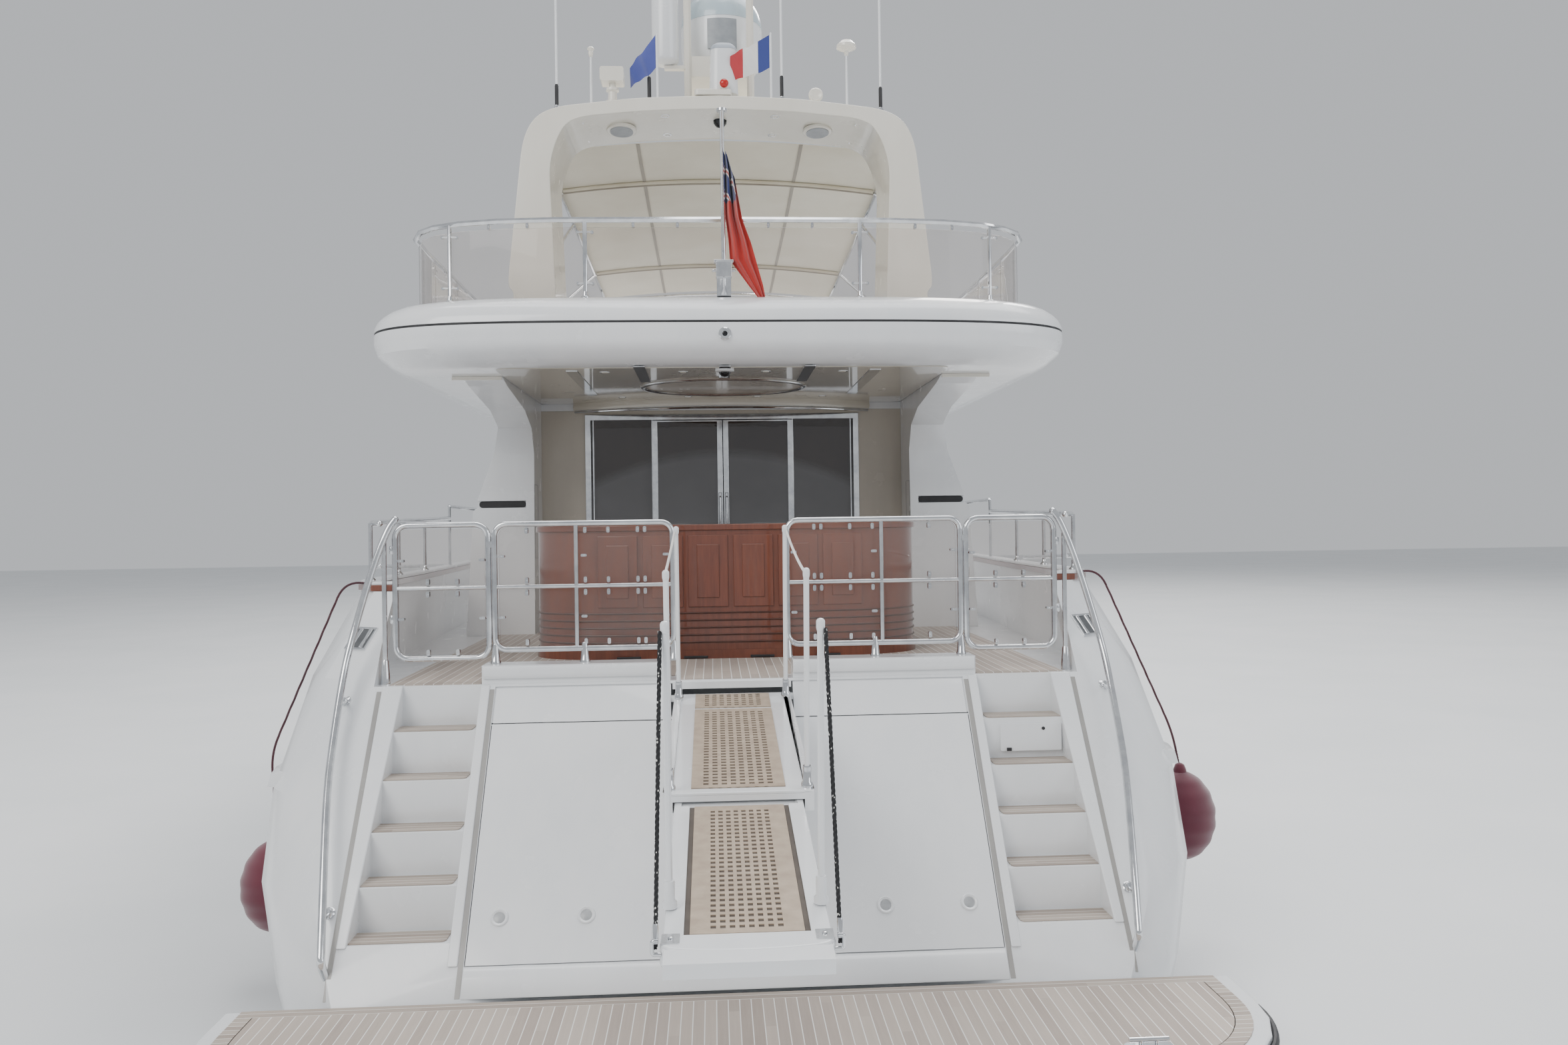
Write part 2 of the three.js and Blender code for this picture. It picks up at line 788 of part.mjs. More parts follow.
// The moulded pillars that carry the overhang's corners, sweeping aft along the ceiling
function wingPlates() {
  const profile = [
    [doorY + 20 - gap, deckZ + gap],
    [doorY + 20 - gap, roofZ],
    [doorY - 2150, roofZ],
    [doorY - 1900, 4170],
    [doorY - 1000, 4060],
    [doorY - 620, 3930],
    [doorY - 480, 3700],
    [doorY - 500, 3330],
    [doorY - 560, deckZ + gap],
  ];
  const breadth = [
    [deckZ, 1800],
    [roofZ, 1800],
    [roofZ, 2120],
    [3950, 2110],
    [3660, 2190],
    [3270, 2330],
    [3180, 2340],
    [3160, 2375],
    [deckZ, 2440],
  ];
  const slot = box([1880, 2600], [doorY - 700, doorY - 470], [3185, 3250]);
  const body = cut(alongX(profile, 1800, 2600).intersect(alongY(breadth, doorY - 2400, doorY + 100)), slot);
  bothSides.forEach(({ side, s }) => {
    piece("wing_plate_" + side, s > 0 ? body : mirrored(body), "gelcoat");
  });
}

// Rails
const railLine = { y: transomTopY + 120, topZ: 3012, midZ: 2600, lowZ: 2190, postX: 2230, postR: 16 };

function railFrame(x0, x1, lowZ) {
  const { y, topZ, midZ } = railLine;
  const mid = (x0 + x1) / 2;
  const corners = [
    [mid, y, lowZ],
    [x1, y, lowZ],
    [x1, y, topZ],
    [x0, y, topZ],
    [x0, y, lowZ],
    [mid, y, lowZ],
  ];
  return join(tube(rounded(corners, 90), 19), tube([[x0, y, midZ], [x1, y, midZ]], 14));
}

function cockpitRails() {
  const { y, midZ, postX, postR } = railLine;
  const [railIn, railOut, gateIn, gateOut] = [378, 1540, 1580, 2180];
  bothSides.forEach(({ side, s }) => {
    const span = (a, b) => [s * a, s * b].sort((p, q) => p - q);
    const [x0, x1] = span(railIn, railOut);
    const feet = [x0, (x0 + x1) / 2, x1].map((x) => {
      const foot = Math.abs(x) < stairInner ? coamingZ : deckZ;
      return tube([[x, y, foot + gap], [x, y, midZ]], 17);
    });
    piece("cockpit_rail_" + side, join(railFrame(x0, x1, railLine.lowZ), feet), "chrome");
    const glassY = [y + 19 + gap, y + 28];
    piece("rail_glass_" + side, box([x0 + 25, x1 - 25], glassY, [2195, 2995]), "clear");
    const [g0, g1] = span(gateIn, gateOut);
    const glass = box([g0 + 10, g1 - 10], [y - 4, y + 4], [2150, 3010]);
    const eyes = [2400, 2850].map((z) => {
      return box(span(gateOut - 5, postX - postR - gap), [y - 8, y + 8], [z - 25, z + 25]);
    });
    piece("gate_" + side, join(railFrame(g0, g1, 2140), glass, eyes), "chrome");
  });
}

// The raised lip along the transom's top, open at the passerelle
function coaming() {
  const bar = (x0, x1) => box([x0, x1], [transomTopY + 10, transomTopY + 210], [deckZ - 5, coamingZ]);
  const half = gangway.half + 70;
  return [bar(-stairInner, gangway.x - half), bar(gangway.x + half, stairInner)];
}

// The gate's post and the handrail that runs down from it along the quarter
function stairRails(hullShape) {
  const seat = hullShape.translate([0, -gap, 0]);
  const { y, postX, postR } = railLine;
  bothSides.forEach(({ side, s }) => {
    const at = (z, x, off) => [s * x, transomY(z) - off, z];
    const points = [
      [s * postX, y, 3000],
      [s * postX, y, 3045],
      [s * 2265, y - 30, 3010],
      at(2240, 2350, 110),
      at(1390, 2380, 100),
      at(560, 2225, 95),
      at(500, 2220, -60),
    ];
    const postProfile = [
      [0, deckZ + gap],
      [26, deckZ + gap],
      [postR, deckZ + 110],
      [postR, 3010],
      [0, 3010],
    ];
    const post = turned(postProfile, 20, [s * postX, y, 0]);
    const rail = tube(rounded(points, 200, 2), 21);
    const lowerBracket = tube([at(700, 2250, 90), at(700, 2250, -80)], 14);
    const upperBracket = tube([at(1900, 2362, 95), at(1900, 2362, -120)], 14);
    piece("stair_rail_" + side, cut(join(post, rail, lowerBracket, upperBracket), seat), "chrome");
  });
}

// A rail of posts and one top tube along the bulwark, round the bow
function bowRail() {
  const run = stations().slice(6);
  const point = ([t], s, up) => {
    const half = halfSection(t, 0);
    const [x, z] = half[half.length - 1];
    return [s * Math.max(x - 65, 0), mix(transomY(z), stemY(z), t) - (t === 1 ? 120 : 0), z + capThick + up];
  };
  const height = 620;
  const right = run.map((station) => point(station, 1, height));
  const left = run.slice(0, -1).reverse().map((station) => point(station, -1, height));
  const top = [...right, ...left];
  const post = (station, s) => tube([point(station, s, -20), point(station, s, height)], 14);
  const posts = run.slice(0, -1).flatMap((station) => [post(station, 1), post(station, -1)]);
  const seat = capBody().translate([0, 0, gap]);
  piece("bow_rail", cut(join(tube(top, 20), posts), seat), "chrome");
}

// Passerelle
function downSlope(body) {
  return body
    .rotate([THREE.MathUtils.radToDeg(slope), 0, 0])
    .translate([gangway.x, gangway.hingeY, gangway.hingeZ]);
}

function gangPosts(y, half, foot) {
  return [-1, 1].map((s) => tube([[s * half, y, foot], [s * half, y, gangway.postTop]], 14));
}

// Stage 1 carries stage 2 between its side beams, on two runners
function passerelle() {
  const g = gangway;
  const pair = (a, b, y, z) => [-1, 1].map((s) => box([s * a, s * b].sort((p, q) => p - q), y, z));
  const run1 = [-g.stage1, -20];
  const deck1 = box([-g.half, g.half], run1, [-5, 25]);
  const sides1 = pair(g.half - 5, g.half + 40, run1, [-g.thick, 35]);
  const runners = pair(g.half - 35, g.half, run1, [-g.thick, -58 - gap]);
  const pins = pair(g.half + 20, g.half + 65 - gap, [-48, -12], [-16, 20]);
  const posts1 = [gangPosts(-150, g.half + 10, 0), gangPosts(-g.stage1 + 60, g.half + 10, 0)].flat();
  piece("passerelle_stage_1", downSlope(join(deck1, sides1, runners, pins, posts1)), "gelcoat");
  const start = -g.stage1 + 200;
  const end = -g.stage1 - g.stage2;
  const under = g.half - 15;
  const deck2 = box([-under, under], [end, start], [-46, -20]);
  const sides2 = pair(under - 35, under, [end, start], [-58, -11]);
  const cap = box([-under + 5, under - 5], [end - 110, end], [-64, -4]);
  const posts2 = gangPosts(end + g.tipPostIn, under - 17, -40);
  piece("passerelle_stage_2", downSlope(join(deck2, cap, sides2, posts2)), "gelcoat");
}

// Cockpit furniture
const bar = { half: 1490, backY: -8650, deep: 780, wall: 240, topZ: 2985 };

function roundEnd(c) {
  return Math.abs(c) < 1e-9 ? 0 : Math.sign(c) * Math.pow(Math.abs(c), 0.6);
}

function cockpitBar() {
  const plan = [
    ...Array.from({ length: 15 }, (_, i) => {
      const a = Math.PI * (1 - i / 14);
      const deep = bar.deep * Math.pow(Math.max(Math.sin(a), 0), 0.5);
      return [bar.half * roundEnd(Math.cos(a)), bar.backY - deep];
    }),
    [bar.half - bar.wall, bar.backY],
    [bar.half - bar.wall - 160, bar.backY - 430],
    [-bar.half + bar.wall + 160, bar.backY - 430],
    [-bar.half + bar.wall, bar.backY],
  ];
  piece("cockpit_bar", alongZ(plan, deckZ + gap, bar.topZ), "mahogany");
  const seat = box([-960, 960], [-9080, -8400], [deckZ + gap, 2420]);
  piece("cockpit_sofa", seat, "vinyl");
  const top = box([-700, 700], [-8150, -7450], [2680, 2720]);
  const leg = box([-120, 120], [-7900, -7700], [deckZ + gap, 2690]);
  piece("cockpit_table", join(top, leg), "mahogany");
}

// Flybridge pieces
const flyRailLine = { inset: 270, z: 5343, foreY: -5150, glassForeY: -5500, glassTopZ: 5290 };

function flyRail() {
  const r = flyRailLine;
  const line = flyPlan(r.inset).slice(flyFront.length);
  const half = overhangHalf - r.inset;
  const foot = flyTopZ + gap;
  const ends = [half, -half].map((x) => [
    [x, r.foreY, foot],
    [x, r.foreY, r.z],
  ]);
  const start = rounded([...ends[0], line[0].concat(r.z)], 160);
  const top = [...start, ...line.slice(1, -1).map(([x, y]) => [x, y, r.z])];
  const back = rounded([line[line.length - 1].concat(r.z), ...ends[1].reverse()], 160);
  const feet = [
    { x: 1060, y: -9223 },
    { x: 2120, y: -9046 },
    { x: half, y: -7900 },
    { x: half, y: -7000 },
    { x: half, y: -6100 },
  ];
  const posts = feet.flatMap(({ x, y }) => [-1, 1].map((s) => tube([[s * x, y, foot], [s * x, y, r.z]], 17)));
  piece("fly_rail", join(tube([...top, ...back], 22), posts), "chrome");
  const strip = (inset) => {
    const points = flyPlan(inset).slice(flyFront.length);
    const x = overhangHalf - inset;
    return [[x, r.glassForeY], ...points, [-x, r.glassForeY]];
  };
  const pane = [...strip(r.inset + 20), ...strip(r.inset + 29).reverse()];
  piece("fly_rail_glass", alongZ(pane, foot, r.glassTopZ), "clear");
}

const arch = { aftY: -8350, foreY: -7560, topZ: 6630, underZ: 6515, topHalf: 1660, footHalf: 1800 };

// The arch: two broad legs and a crowned beam, with the thin masts that stand on it
function radarArch() {
  const a = arch;
  const under = (x) => a.underZ - 100 * (x / 1380) ** 2;
  const half = [
    [0, a.topZ],
    [700, a.topZ - 27],
    [1380, a.topZ - 104],
    [1470, a.topZ - 132],
    [1550, a.topZ - 185],
    [1612, a.topZ - 262],
    [a.topHalf, a.topZ - 380],
    [a.footHalf, 5010],
    [a.footHalf - 50, 4975],
    [a.footHalf - 50, 4890],
    [a.footHalf + 30, 4870],
    [a.footHalf + 30, flyDeckZ + gap],
    [1380, flyDeckZ + gap],
    [1440, a.topZ - 560],
    [1410, a.topZ - 440],
    [1375, a.topZ - 340],
    [1330, under(1330) - 60],
    [1180, under(1180)],
    [600, under(600)],
    [0, a.underZ],
  ];
  const right = half.map(([x, z]) => [z, x]);
  const left = half.slice(1, -1).map(([x, z]) => [z, -x]).reverse();
  const body = alongY([...right, ...left], a.aftY, a.foreY);
  const sticks = [
    { x: -1380, top: 9300 },
    { x: 1380, top: 9300 },
    { x: 530, top: 9300 },
    { x: -1090, top: 7030 },
    { x: 1090, top: 7060 },
    { x: -530, top: 7180 },
    { x: 440, top: 7200 },
  ];
  const masts = sticks.map(({ x, top }) => {
    const foot = a.underZ + 20 - 100 * (x / 1380) ** 2;
    return tube([[x, a.aftY + 90, foot], [x, a.aftY + 90, top]], 11);
  });
  piece("radar_arch", join(body, masts), "gelcoat");
}

const awning = { z: 6500, aftY: arch.foreY + 8, foreY: -1600, half: 1600, crown: 110, thick: 16, fall: 170 };
const awningTilt = Math.atan(awning.fall / (awning.foreY - awning.aftY));
const awningShares = [-1, -2 / 3, -1 / 3, 0, 1 / 3, 2 / 3, 1];

function awningZ(x, y) {
  const sag = (awning.crown * (x / awning.half) ** 2) / Math.cos(awningTilt);
  return awning.z - Math.tan(awningTilt) * (y - awning.aftY) - sag;
}

function bimini() {
  const section = awningShares.map((k) => [-awning.crown * k * k, k * awning.half]);
  const lower = section.map(([z, x]) => [z - awning.thick, x]).reverse();
  const run = (awning.foreY - awning.aftY) / Math.cos(awningTilt);
  const sheet = alongY([...section, ...lower], 0, run)
    .rotate([-THREE.MathUtils.radToDeg(awningTilt), 0, 0])
    .translate([0, awning.aftY, awning.z]);
  piece("bimini_canvas", sheet, "canvas");
  const pipeR = 18;
  const plate = { half: 50, thick: 12 };
  const drop = awning.thick + pipeR + 0.6;
  const under = (x, y) => [x, y, awningZ(x, y) - drop];
  const edgeX = awning.half - 20;
  const frontY = awning.foreY + 60;
  const hoops = [-6480, -3110, frontY].map((y) => {
    return tube(awningShares.map((k) => under(k * edgeX, y)), pipeR);
  });
  const footY = arch.foreY + gap;
  const footZ = flyWallZ + gap;
  const struts = [
    { from: -6480, to: [1620, footY, 5880] },
    { from: -5370, to: [1590, footY, 5360] },
    { from: -3110, to: [2665, -3110, footZ] },
    { from: frontY, to: [2665, frontY, footZ] },
  ];
  const archSide = box([-4000, 4000], [-9000, footY], [0, 9000]);
  const wallSide = box([-4000, 4000], [-4000, 0], [0, footZ]);
  const legs = bothSides.flatMap(({ s }) => {
    const side = tube([under(s * edgeX, -7450), under(s * edgeX, frontY)], pipeR);
    const braces = struts.map(({ from, to: [x, y, z] }) => {
      const onArch = z > footZ;
      const spanX = [s * x - plate.half, s * x + plate.half];
      const foot = onArch
        ? box(spanX, [y, y + plate.thick], [z - plate.half, z + plate.half])
        : box(spanX, [y - plate.half, y + plate.half], [z, z + plate.thick]);
      const pipe = tube([under(s * edgeX, from), [s * x, y, z]], pipeR);
      return join(cut(pipe, onArch ? archSide : wallSide), foot);
    });
    return [side, ...braces];
  });
  piece("bimini_frame", join(hoops, legs), "chrome");
}

function mastGroup() {
  const y = arch.aftY + 420;
  const topAt = (x) => arch.topZ - 104 * (x / 1380) ** 2 + gap;
  const pipes = [-1, 1].map((s) => tube([[s * 275, y, topAt(0) + 10], [s * 275, y, 9000]], 35, 8));
  const shelf = box([-260, 260], [y - 10, y + 800], [6940, 7120]);
  const cross = tube([[-275, y, 8940], [275, y, 8940]], 30, 8);
  const bracket = box([-480, -260], [y - 30, y + 30], [7000, 7030]);
  const feet = box([-330, 330], [y - 60, y + 60], [arch.topZ + gap, arch.topZ + 30]);
  piece("mast", join(pipes, shelf, cross, bracket, feet), "gelcoat");
  const dome = (r, h) => [
    [0, 0],
    [r * 0.8, 0],
    [r, h * 0.3],
    [r * 0.92, h * 0.7],
    [r * 0.55, h * 0.94],
    [0, h],
  ];
  piece("sat_dome", turned(dome(370, 760), 14, [30, y + 420, 7120 + gap]), "gelcoat");
  piece("antenna_dome", turned(dome(120, 1300), 10, [-470, y, 7030 + gap]), "gelcoat");
  const post = turned(
    [
      [0, 0],
      [150, 0],
      [150, 50],
      [95, 60],
      [95, 330],
      [60, 400],
      [0, 410],
    ],
    10,
    [35, y - 230, arch.topZ + gap],
  );
  piece("searchlight", post, "gelcoat");
}

const staff = { y: overhangAftY + 205, topZ: 6160, x: 0 };

function flags() {
  const foot = flyTopZ + gap;
  const base = box([-55, 55], [staff.y - 15, staff.y + 45], [foot, foot + 150]);
  const pole = tube([[0, staff.y, foot + 10], [0, staff.y, staff.topZ]], 17, 8);
  const cap = turned([[0, 0], [42, 0], [42, 18], [0, 22]], 10, [0, staff.y, staff.topZ - 4]);
  piece("flagpole", join(base, pole, cap), "chrome");
  const rows = [
    { z: 5830, near: 0, reach: 60 },
    { z: 5500, near: 0, reach: 150 },
    { z: 5150, near: 10, reach: 250 },
    { z: 4780, near: 200, reach: 200 },
  ];
  const sheet = loft(
    rows.map(({ z, near, reach }) => [
      [16 + near, staff.y - 6, z],
      [16 + near + reach, staff.y - 12, z - 30],
      [16 + near + reach, staff.y - 4, z - 30],
      [16 + near, staff.y + 2, z],
    ]),
  );
  piece("ensign", sheet, "red");
}

function flyFurniture() {
  const floor = flyDeckZ + gap;
  const sofa = cut(
    box([-2050, -300], [-7300, -4300], [floor, 4830]),
    box([-1350, -250], [-6650, -4950], [floor - 10, 4900]),
  );
  piece("fly_sofa", sofa, "vinyl");
  const tableTop = box([-1200, -500], [-6300, -5300], [4980, 5020]);
  const table = join(tableTop, box([-900, -800], [-5850, -5750], [floor, 4990]));
  piece("fly_table", table, "mahogany");
  const consoleBody = alongX(
    [
      [-200, floor],
      [700, floor],
      [700, 5250],
      [350, 5350],
      [-100, 5100],
    ],
    300,
    1900,
  );
  piece("helm_console", consoleBody, "gelcoat");
  const seat = join(
    box([450, 1700], [-1500, -950], [4850, 5000]),
    box([450, 1700], [-1620, -1500], [4850, 5450]),
    box([900, 1250], [-1400, -1050], [floor, 4860]),
  );
  piece("helm_seat", seat, "vinyl");
  const screen = (inset) => {
    const x = overhangHalf - inset;
    return [[-x, -600], ...flyPlan(inset).slice(0, flyFront.length), [x, -600]];
  };
  const pane = [...screen(110), ...screen(122).reverse()];
  piece("fly_windscreen", alongZ(pane, flyWallZ + gap, flyWallZ + 330), "glass");
}

function foredeck() {
  const z = 2760 + gap;
  piece("sunpad", box([-900, 900], [5600, 7600], [z, z + 160]), "vinyl");
  const drumProfile = [
    [0, 0],
    [170, 0],
    [170, 60],
    [90, 90],
    [90, 190],
    [140, 240],
    [0, 240],
  ];
  const drum = turned(drumProfile, 10, [0, 10600, z]);
  piece("windlass", drum, "chrome");
  const shank = box([-26, 26], [11150, 12000], [z, z + 70]);
  const stock = box([-26, 26], [11150, 11230], [z, z + 150]);
  const flukes = alongX(
    [
      [11890, z],
      [12090, z],
      [12040, z + 210],
      [11960, z + 210],
    ],
    -170,
    170,
  );
  piece("anchor", join(shank, stock, flukes), "chrome");
}

// Two round fenders pressed on the quarters, each on a line made fast on the cap
const fender = { y: -10300, r: 235, tall: 1.3 };

function fenders(hullShape) {
  const places = { port: [3020, 640], stbd: [3105, 930] };
  bothSides.forEach(({ side, s }) => {
    const [out, z] = places[side];
    const [x, y] = [s * out, fender.y];
    const ball = [0, 0.2, 0.4, 0.6, 0.8, 1].map((q) => {
      const a = Math.PI * q;
      return [fender.r * Math.sin(a), -fender.r * fender.tall * Math.cos(a)];
    });
    const capTop = bulwarkZ + capThick;
    const line = [
      [x, y, z + 260],
      [s * 3075, y + 60, 1500],
      [s * 2690, -9900, capTop + 20],
      [s * 2470, -9880, capTop + 5],
    ];
    const seats = [hullShape.translate([s * gap, 0, 0]), capBody().translate([0, 0, gap])];
    piece("fender_" + side, cut(join(turned(ball, 12, [x, y, z]), tube(line, 9)), seats), "maroon");
  });
}

const hullShape = hullBody();
hull(hullShape);
swimPlatform();
garageDoor();
bulwarkCap();
runningGear(hullShape);
flybridgeDeck();
saloon();
bulkhead();
wingPlates();
cockpitRails();
stairRails(hullShape);
bowRail();
passerelle();
cockpitBar();
flyRail();
radarArch();
bimini();
mastGroup();
flags();
flyFurniture();
foredeck();
fenders(hullShape);

export default yacht;
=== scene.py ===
# Motor yacht with a flybridge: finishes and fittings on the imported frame, in metres
import bpy
import bmesh
import json
import math
import numpy as np
from mathutils import Euler, Matrix, Vector
from mathutils.bvhtree import BVHTree

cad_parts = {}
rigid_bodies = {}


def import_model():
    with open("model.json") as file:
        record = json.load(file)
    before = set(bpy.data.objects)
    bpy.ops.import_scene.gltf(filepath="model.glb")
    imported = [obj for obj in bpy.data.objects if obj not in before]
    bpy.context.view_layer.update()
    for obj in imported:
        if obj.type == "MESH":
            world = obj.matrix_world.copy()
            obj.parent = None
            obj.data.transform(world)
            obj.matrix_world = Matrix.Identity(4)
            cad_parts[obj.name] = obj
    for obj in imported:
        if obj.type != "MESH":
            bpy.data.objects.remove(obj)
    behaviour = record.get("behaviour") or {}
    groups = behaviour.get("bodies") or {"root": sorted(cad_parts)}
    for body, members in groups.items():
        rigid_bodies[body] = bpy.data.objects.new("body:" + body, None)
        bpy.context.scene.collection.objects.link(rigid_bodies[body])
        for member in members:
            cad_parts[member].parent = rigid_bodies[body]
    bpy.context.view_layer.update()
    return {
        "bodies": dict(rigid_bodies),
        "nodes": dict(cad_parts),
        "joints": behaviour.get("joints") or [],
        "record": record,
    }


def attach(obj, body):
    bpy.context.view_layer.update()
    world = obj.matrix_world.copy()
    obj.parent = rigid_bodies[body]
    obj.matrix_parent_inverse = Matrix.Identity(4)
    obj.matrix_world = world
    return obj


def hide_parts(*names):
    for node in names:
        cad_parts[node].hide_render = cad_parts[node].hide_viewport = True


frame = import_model()
nodes = frame["nodes"]
record = frame["record"]
bodyOfNode = {n: b for b, members in record["behaviour"]["bodies"].items() for n in members}
sides = (("port", -1), ("stbd", 1))
print("frame loaded")

# Camera: on the quay astern, at eye height
cameraValues = {
    "place": (-0.108, -18.3, 2.97),
    "yaw": 3.45,      # degrees to starboard
    "pitch": 0.2,     # degrees up
    "roll": 0.8,      # degrees clockwise
    "lens": 27.0,
}


def makeCamera(v):
    # The view from the quay: level and facing the bow, then turned by yaw, pitch and roll in degrees
    data = bpy.data.cameras.new("quayCamera")
    data.lens = v["lens"]
    data.sensor_width = 36
    data.clip_end = 300
    cam = bpy.data.objects.new("quayCamera", data)
    bpy.context.collection.objects.link(cam)
    cam.location = v["place"]
    facing = Euler((math.radians(90 + v["pitch"]), 0, -math.radians(v["yaw"]))).to_matrix()
    cam.rotation_euler = (facing @ Matrix.Rotation(-math.radians(v["roll"]), 3, "Z")).to_euler()
    bpy.context.scene.camera = cam


makeCamera(cameraValues)


# Mesh helpers
def unit(v):
    # Vectors divided by their lengths
    return v / np.maximum(np.linalg.norm(v, axis=-1, keepdims=True), 1e-12)


def gridFaces(rows, cols, wrapRows=False, wrapCols=False):
    # Quads between neighbouring rows and columns of a grid of points
    i = np.arange(rows if wrapRows else rows - 1)[:, None]
    j = np.arange(cols if wrapCols else cols - 1)[None, :]
    a, b = i * cols + j, i * cols + (j + 1) % cols
    c, d = (i + 1) % rows * cols + (j + 1) % cols, (i + 1) % rows * cols + j
    return np.stack([a, b, c, d], -1).reshape(-1, 4).tolist()


def joined(shapes):
    # Several (points, faces) as one
    points, faces, start = [], [], 0
    for p, f in shapes:
        points.append(np.asarray(p, float))
        faces += [[k + start for k in face] for face in f]
        start += len(p)
    return np.concatenate(points), faces


def circleOf(r, n=12, tall=1.0):
    # Points at r (cos a, tall sin a)
    a = np.linspace(0, 2 * math.pi, n, endpoint=False)
    return np.stack([r * np.cos(a), r * tall * np.sin(a)], 1)


def sweep(path, profile, ref=None, closed=False):
    # point = path + side * profile[0] + up * profile[1], side and up square to the path's direction
    path, profile = np.asarray(path, float), np.asarray(profile, float)
    ahead = np.roll(path, -1, 0) - path
    behind = np.roll(ahead, 1, 0)
    if not closed:
        ahead[-1], behind[0] = behind[-1], ahead[0]
    t = unit(unit(ahead) + unit(behind))
    if ref is None:
        options = unit(np.array([[0, 0, 1], [1, 0, 0], [0, 1, 0], [0.6, 0.5, 0.62], [-0.5, 0.7, 0.5]], float))
        ref = options[np.argmin(np.abs(t @ options.T).max(0))]
    side = unit(np.cross(t, ref))
    up = np.cross(side, t)
    bend = 1 / np.maximum(np.sqrt((1 + (unit(ahead) * unit(behind)).sum(-1)) / 2), 0.5)
    offsets = profile[None, :, :1] * side[:, None] + profile[None, :, 1:] * up[:, None]
    points = path[:, None] + offsets * (bend if len(profile) == 4 else np.ones(len(path)))[:, None, None]
    rows, cols = len(path), len(profile)
    faces = gridFaces(rows, cols, closed, True)
    if not closed:
        faces += [list(range(cols)), list(range((rows - 1) * cols, rows * cols))[::-1]]
    return points.reshape(-1, 3), faces


def roundPath(points, r, n=5):
    # The same route with each corner turned into a curve between points r before and after it
    v = np.asarray(points, float)
    out = [v[0]]
    s = np.linspace(0, 1, n)[:, None]
    for a, b, c in zip(v[:-2], v[1:-1], v[2:]):
        la, lc = np.linalg.norm(a - b), np.linalg.norm(c - b)
        p, q = b + (a - b) * min(r / la, 0.49), b + (c - b) * min(r / lc, 0.49)
        out += list((1 - s) ** 2 * p + 2 * s * (1 - s) * b + s**2 * q)
    return np.array(out + [v[-1]])


def atHeight(flat, z):
    # Plan points lifted to a height, or each to its own
    return np.c_[flat, np.full(len(flat), z)]


def ellipse(x, y, rx, ry, n):
    # Points at (x + rx cos a, y + ry sin a)
    a = np.linspace(0, 2 * math.pi, n, endpoint=False)
    return np.stack([x + rx * np.cos(a), y + ry * np.sin(a)], 1)


def onSide(s, a, b):
    # The interval from a to b carried to side s, in rising order
    return sorted((s * a, s * b))


def tube(points, r, bend=0.06, n=12):
    # A round section of radius r along a route whose corners are curved
    return sweep(roundPath(points, bend), circleOf(r, n))


def capped(loops):
    # Closed loops of equally many points, joined one to the next, with a face over the first and the last
    rows, cols = len(loops), len(loops[0])
    faces = gridFaces(rows, cols, False, True)
    return np.concatenate(loops), faces + [list(range(cols))[::-1], list(range((rows - 1) * cols, rows * cols))]


def lathe(profile, centre, axis=(0, 0, 1), n=24):
    # (radius, height) pairs turned about an axis through a centre
    prof = np.asarray(profile, float)
    z = unit(np.asarray(axis, float))
    x = unit(np.cross(z, (0.31, 0.92, 0.2)))
    y = np.cross(z, x)
    a = np.linspace(0, 2 * math.pi, n, endpoint=False)
    around = np.cos(a)[:, None] * x + np.sin(a)[:, None] * y
    return capped(np.asarray(centre) + prof[:, None, :1] * around[None] + prof[:, None, 1:] * z)


def slab(outline, low, high, axes=(0, 1, 2)):
    # An outline carried from low to high along the third axis
    flat = np.asarray(outline, float)
    n = len(flat)
    points = np.empty((2 * n, 3))
    points[:, axes[0]] = np.tile(flat[:, 0], 2)
    points[:, axes[1]] = np.tile(flat[:, 1], 2)
    points[:, axes[2]] = np.repeat([low, high], n)
    faces = [list(range(n))[::-1], list(range(n, 2 * n))]
    faces += [[i, (i + 1) % n, n + (i + 1) % n, n + i] for i in range(n)]
    return points, faces


def block(x, y, z):
    # A board between two limits each way, for parts whose edges are then softened
    return slab([(x[0], y[0]), (x[1], y[0]), (x[1], y[1]), (x[0], y[1])], z[0], z[1])


def twoSided(top, under):
    # Two grids of points, the second facing the other way, and a rim that joins their edges
    rows, cols = top.shape[:2]
    k = rows * cols
    rim = np.concatenate([np.arange(cols), np.arange(1, rows) * cols + cols - 1,
                          np.arange(cols - 2, -1, -1) + (rows - 1) * cols, np.arange(rows - 2, 0, -1) * cols])
    faces = gridFaces(rows, cols)
    faces += [[a + k for a in f[::-1]] for f in faces]
    faces += [[a, a + k, b + k, b] for a, b in zip(rim.tolist(), np.roll(rim, -1).tolist())]
    return np.concatenate([top.reshape(-1, 3), under.reshape(-1, 3)]), faces


def surface(fn, nu, nv, thick):
    # A grid of fn(u, v) with u and v from 0 to 1, and a second one thick below it along its own slope
    u, v = np.meshgrid(np.linspace(0, 1, nu), np.linspace(0, 1, nv), indexing="ij")
    top = np.stack(fn(u, v), -1)
    du, dv = np.gradient(top, axis=0), np.gradient(top, axis=1)
    return twoSided(top, top - unit(np.cross(du, dv)) * thick)


def finished(name, mesh, material, body, sharp, bevel):
    # An object in its finish that rides on a body, smooth up to the sharp angle, its edges rounded by bevel
    obj = bpy.data.objects.new(name, mesh)
    bpy.context.collection.objects.link(obj)
    mesh.materials.append(material)
    mesh.polygons.foreach_set("use_smooth", np.ones(len(mesh.polygons), bool))
    mesh.set_sharp_from_angle(angle=math.radians(sharp))
    if bevel:
        soften = obj.modifiers.new("edges", "BEVEL")
        soften.width = bevel
        soften.segments = 2
        soften.limit_method = "ANGLE"
        soften.angle_limit = math.radians(38)
        soften.harden_normals = True
    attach(obj, body)
    return obj


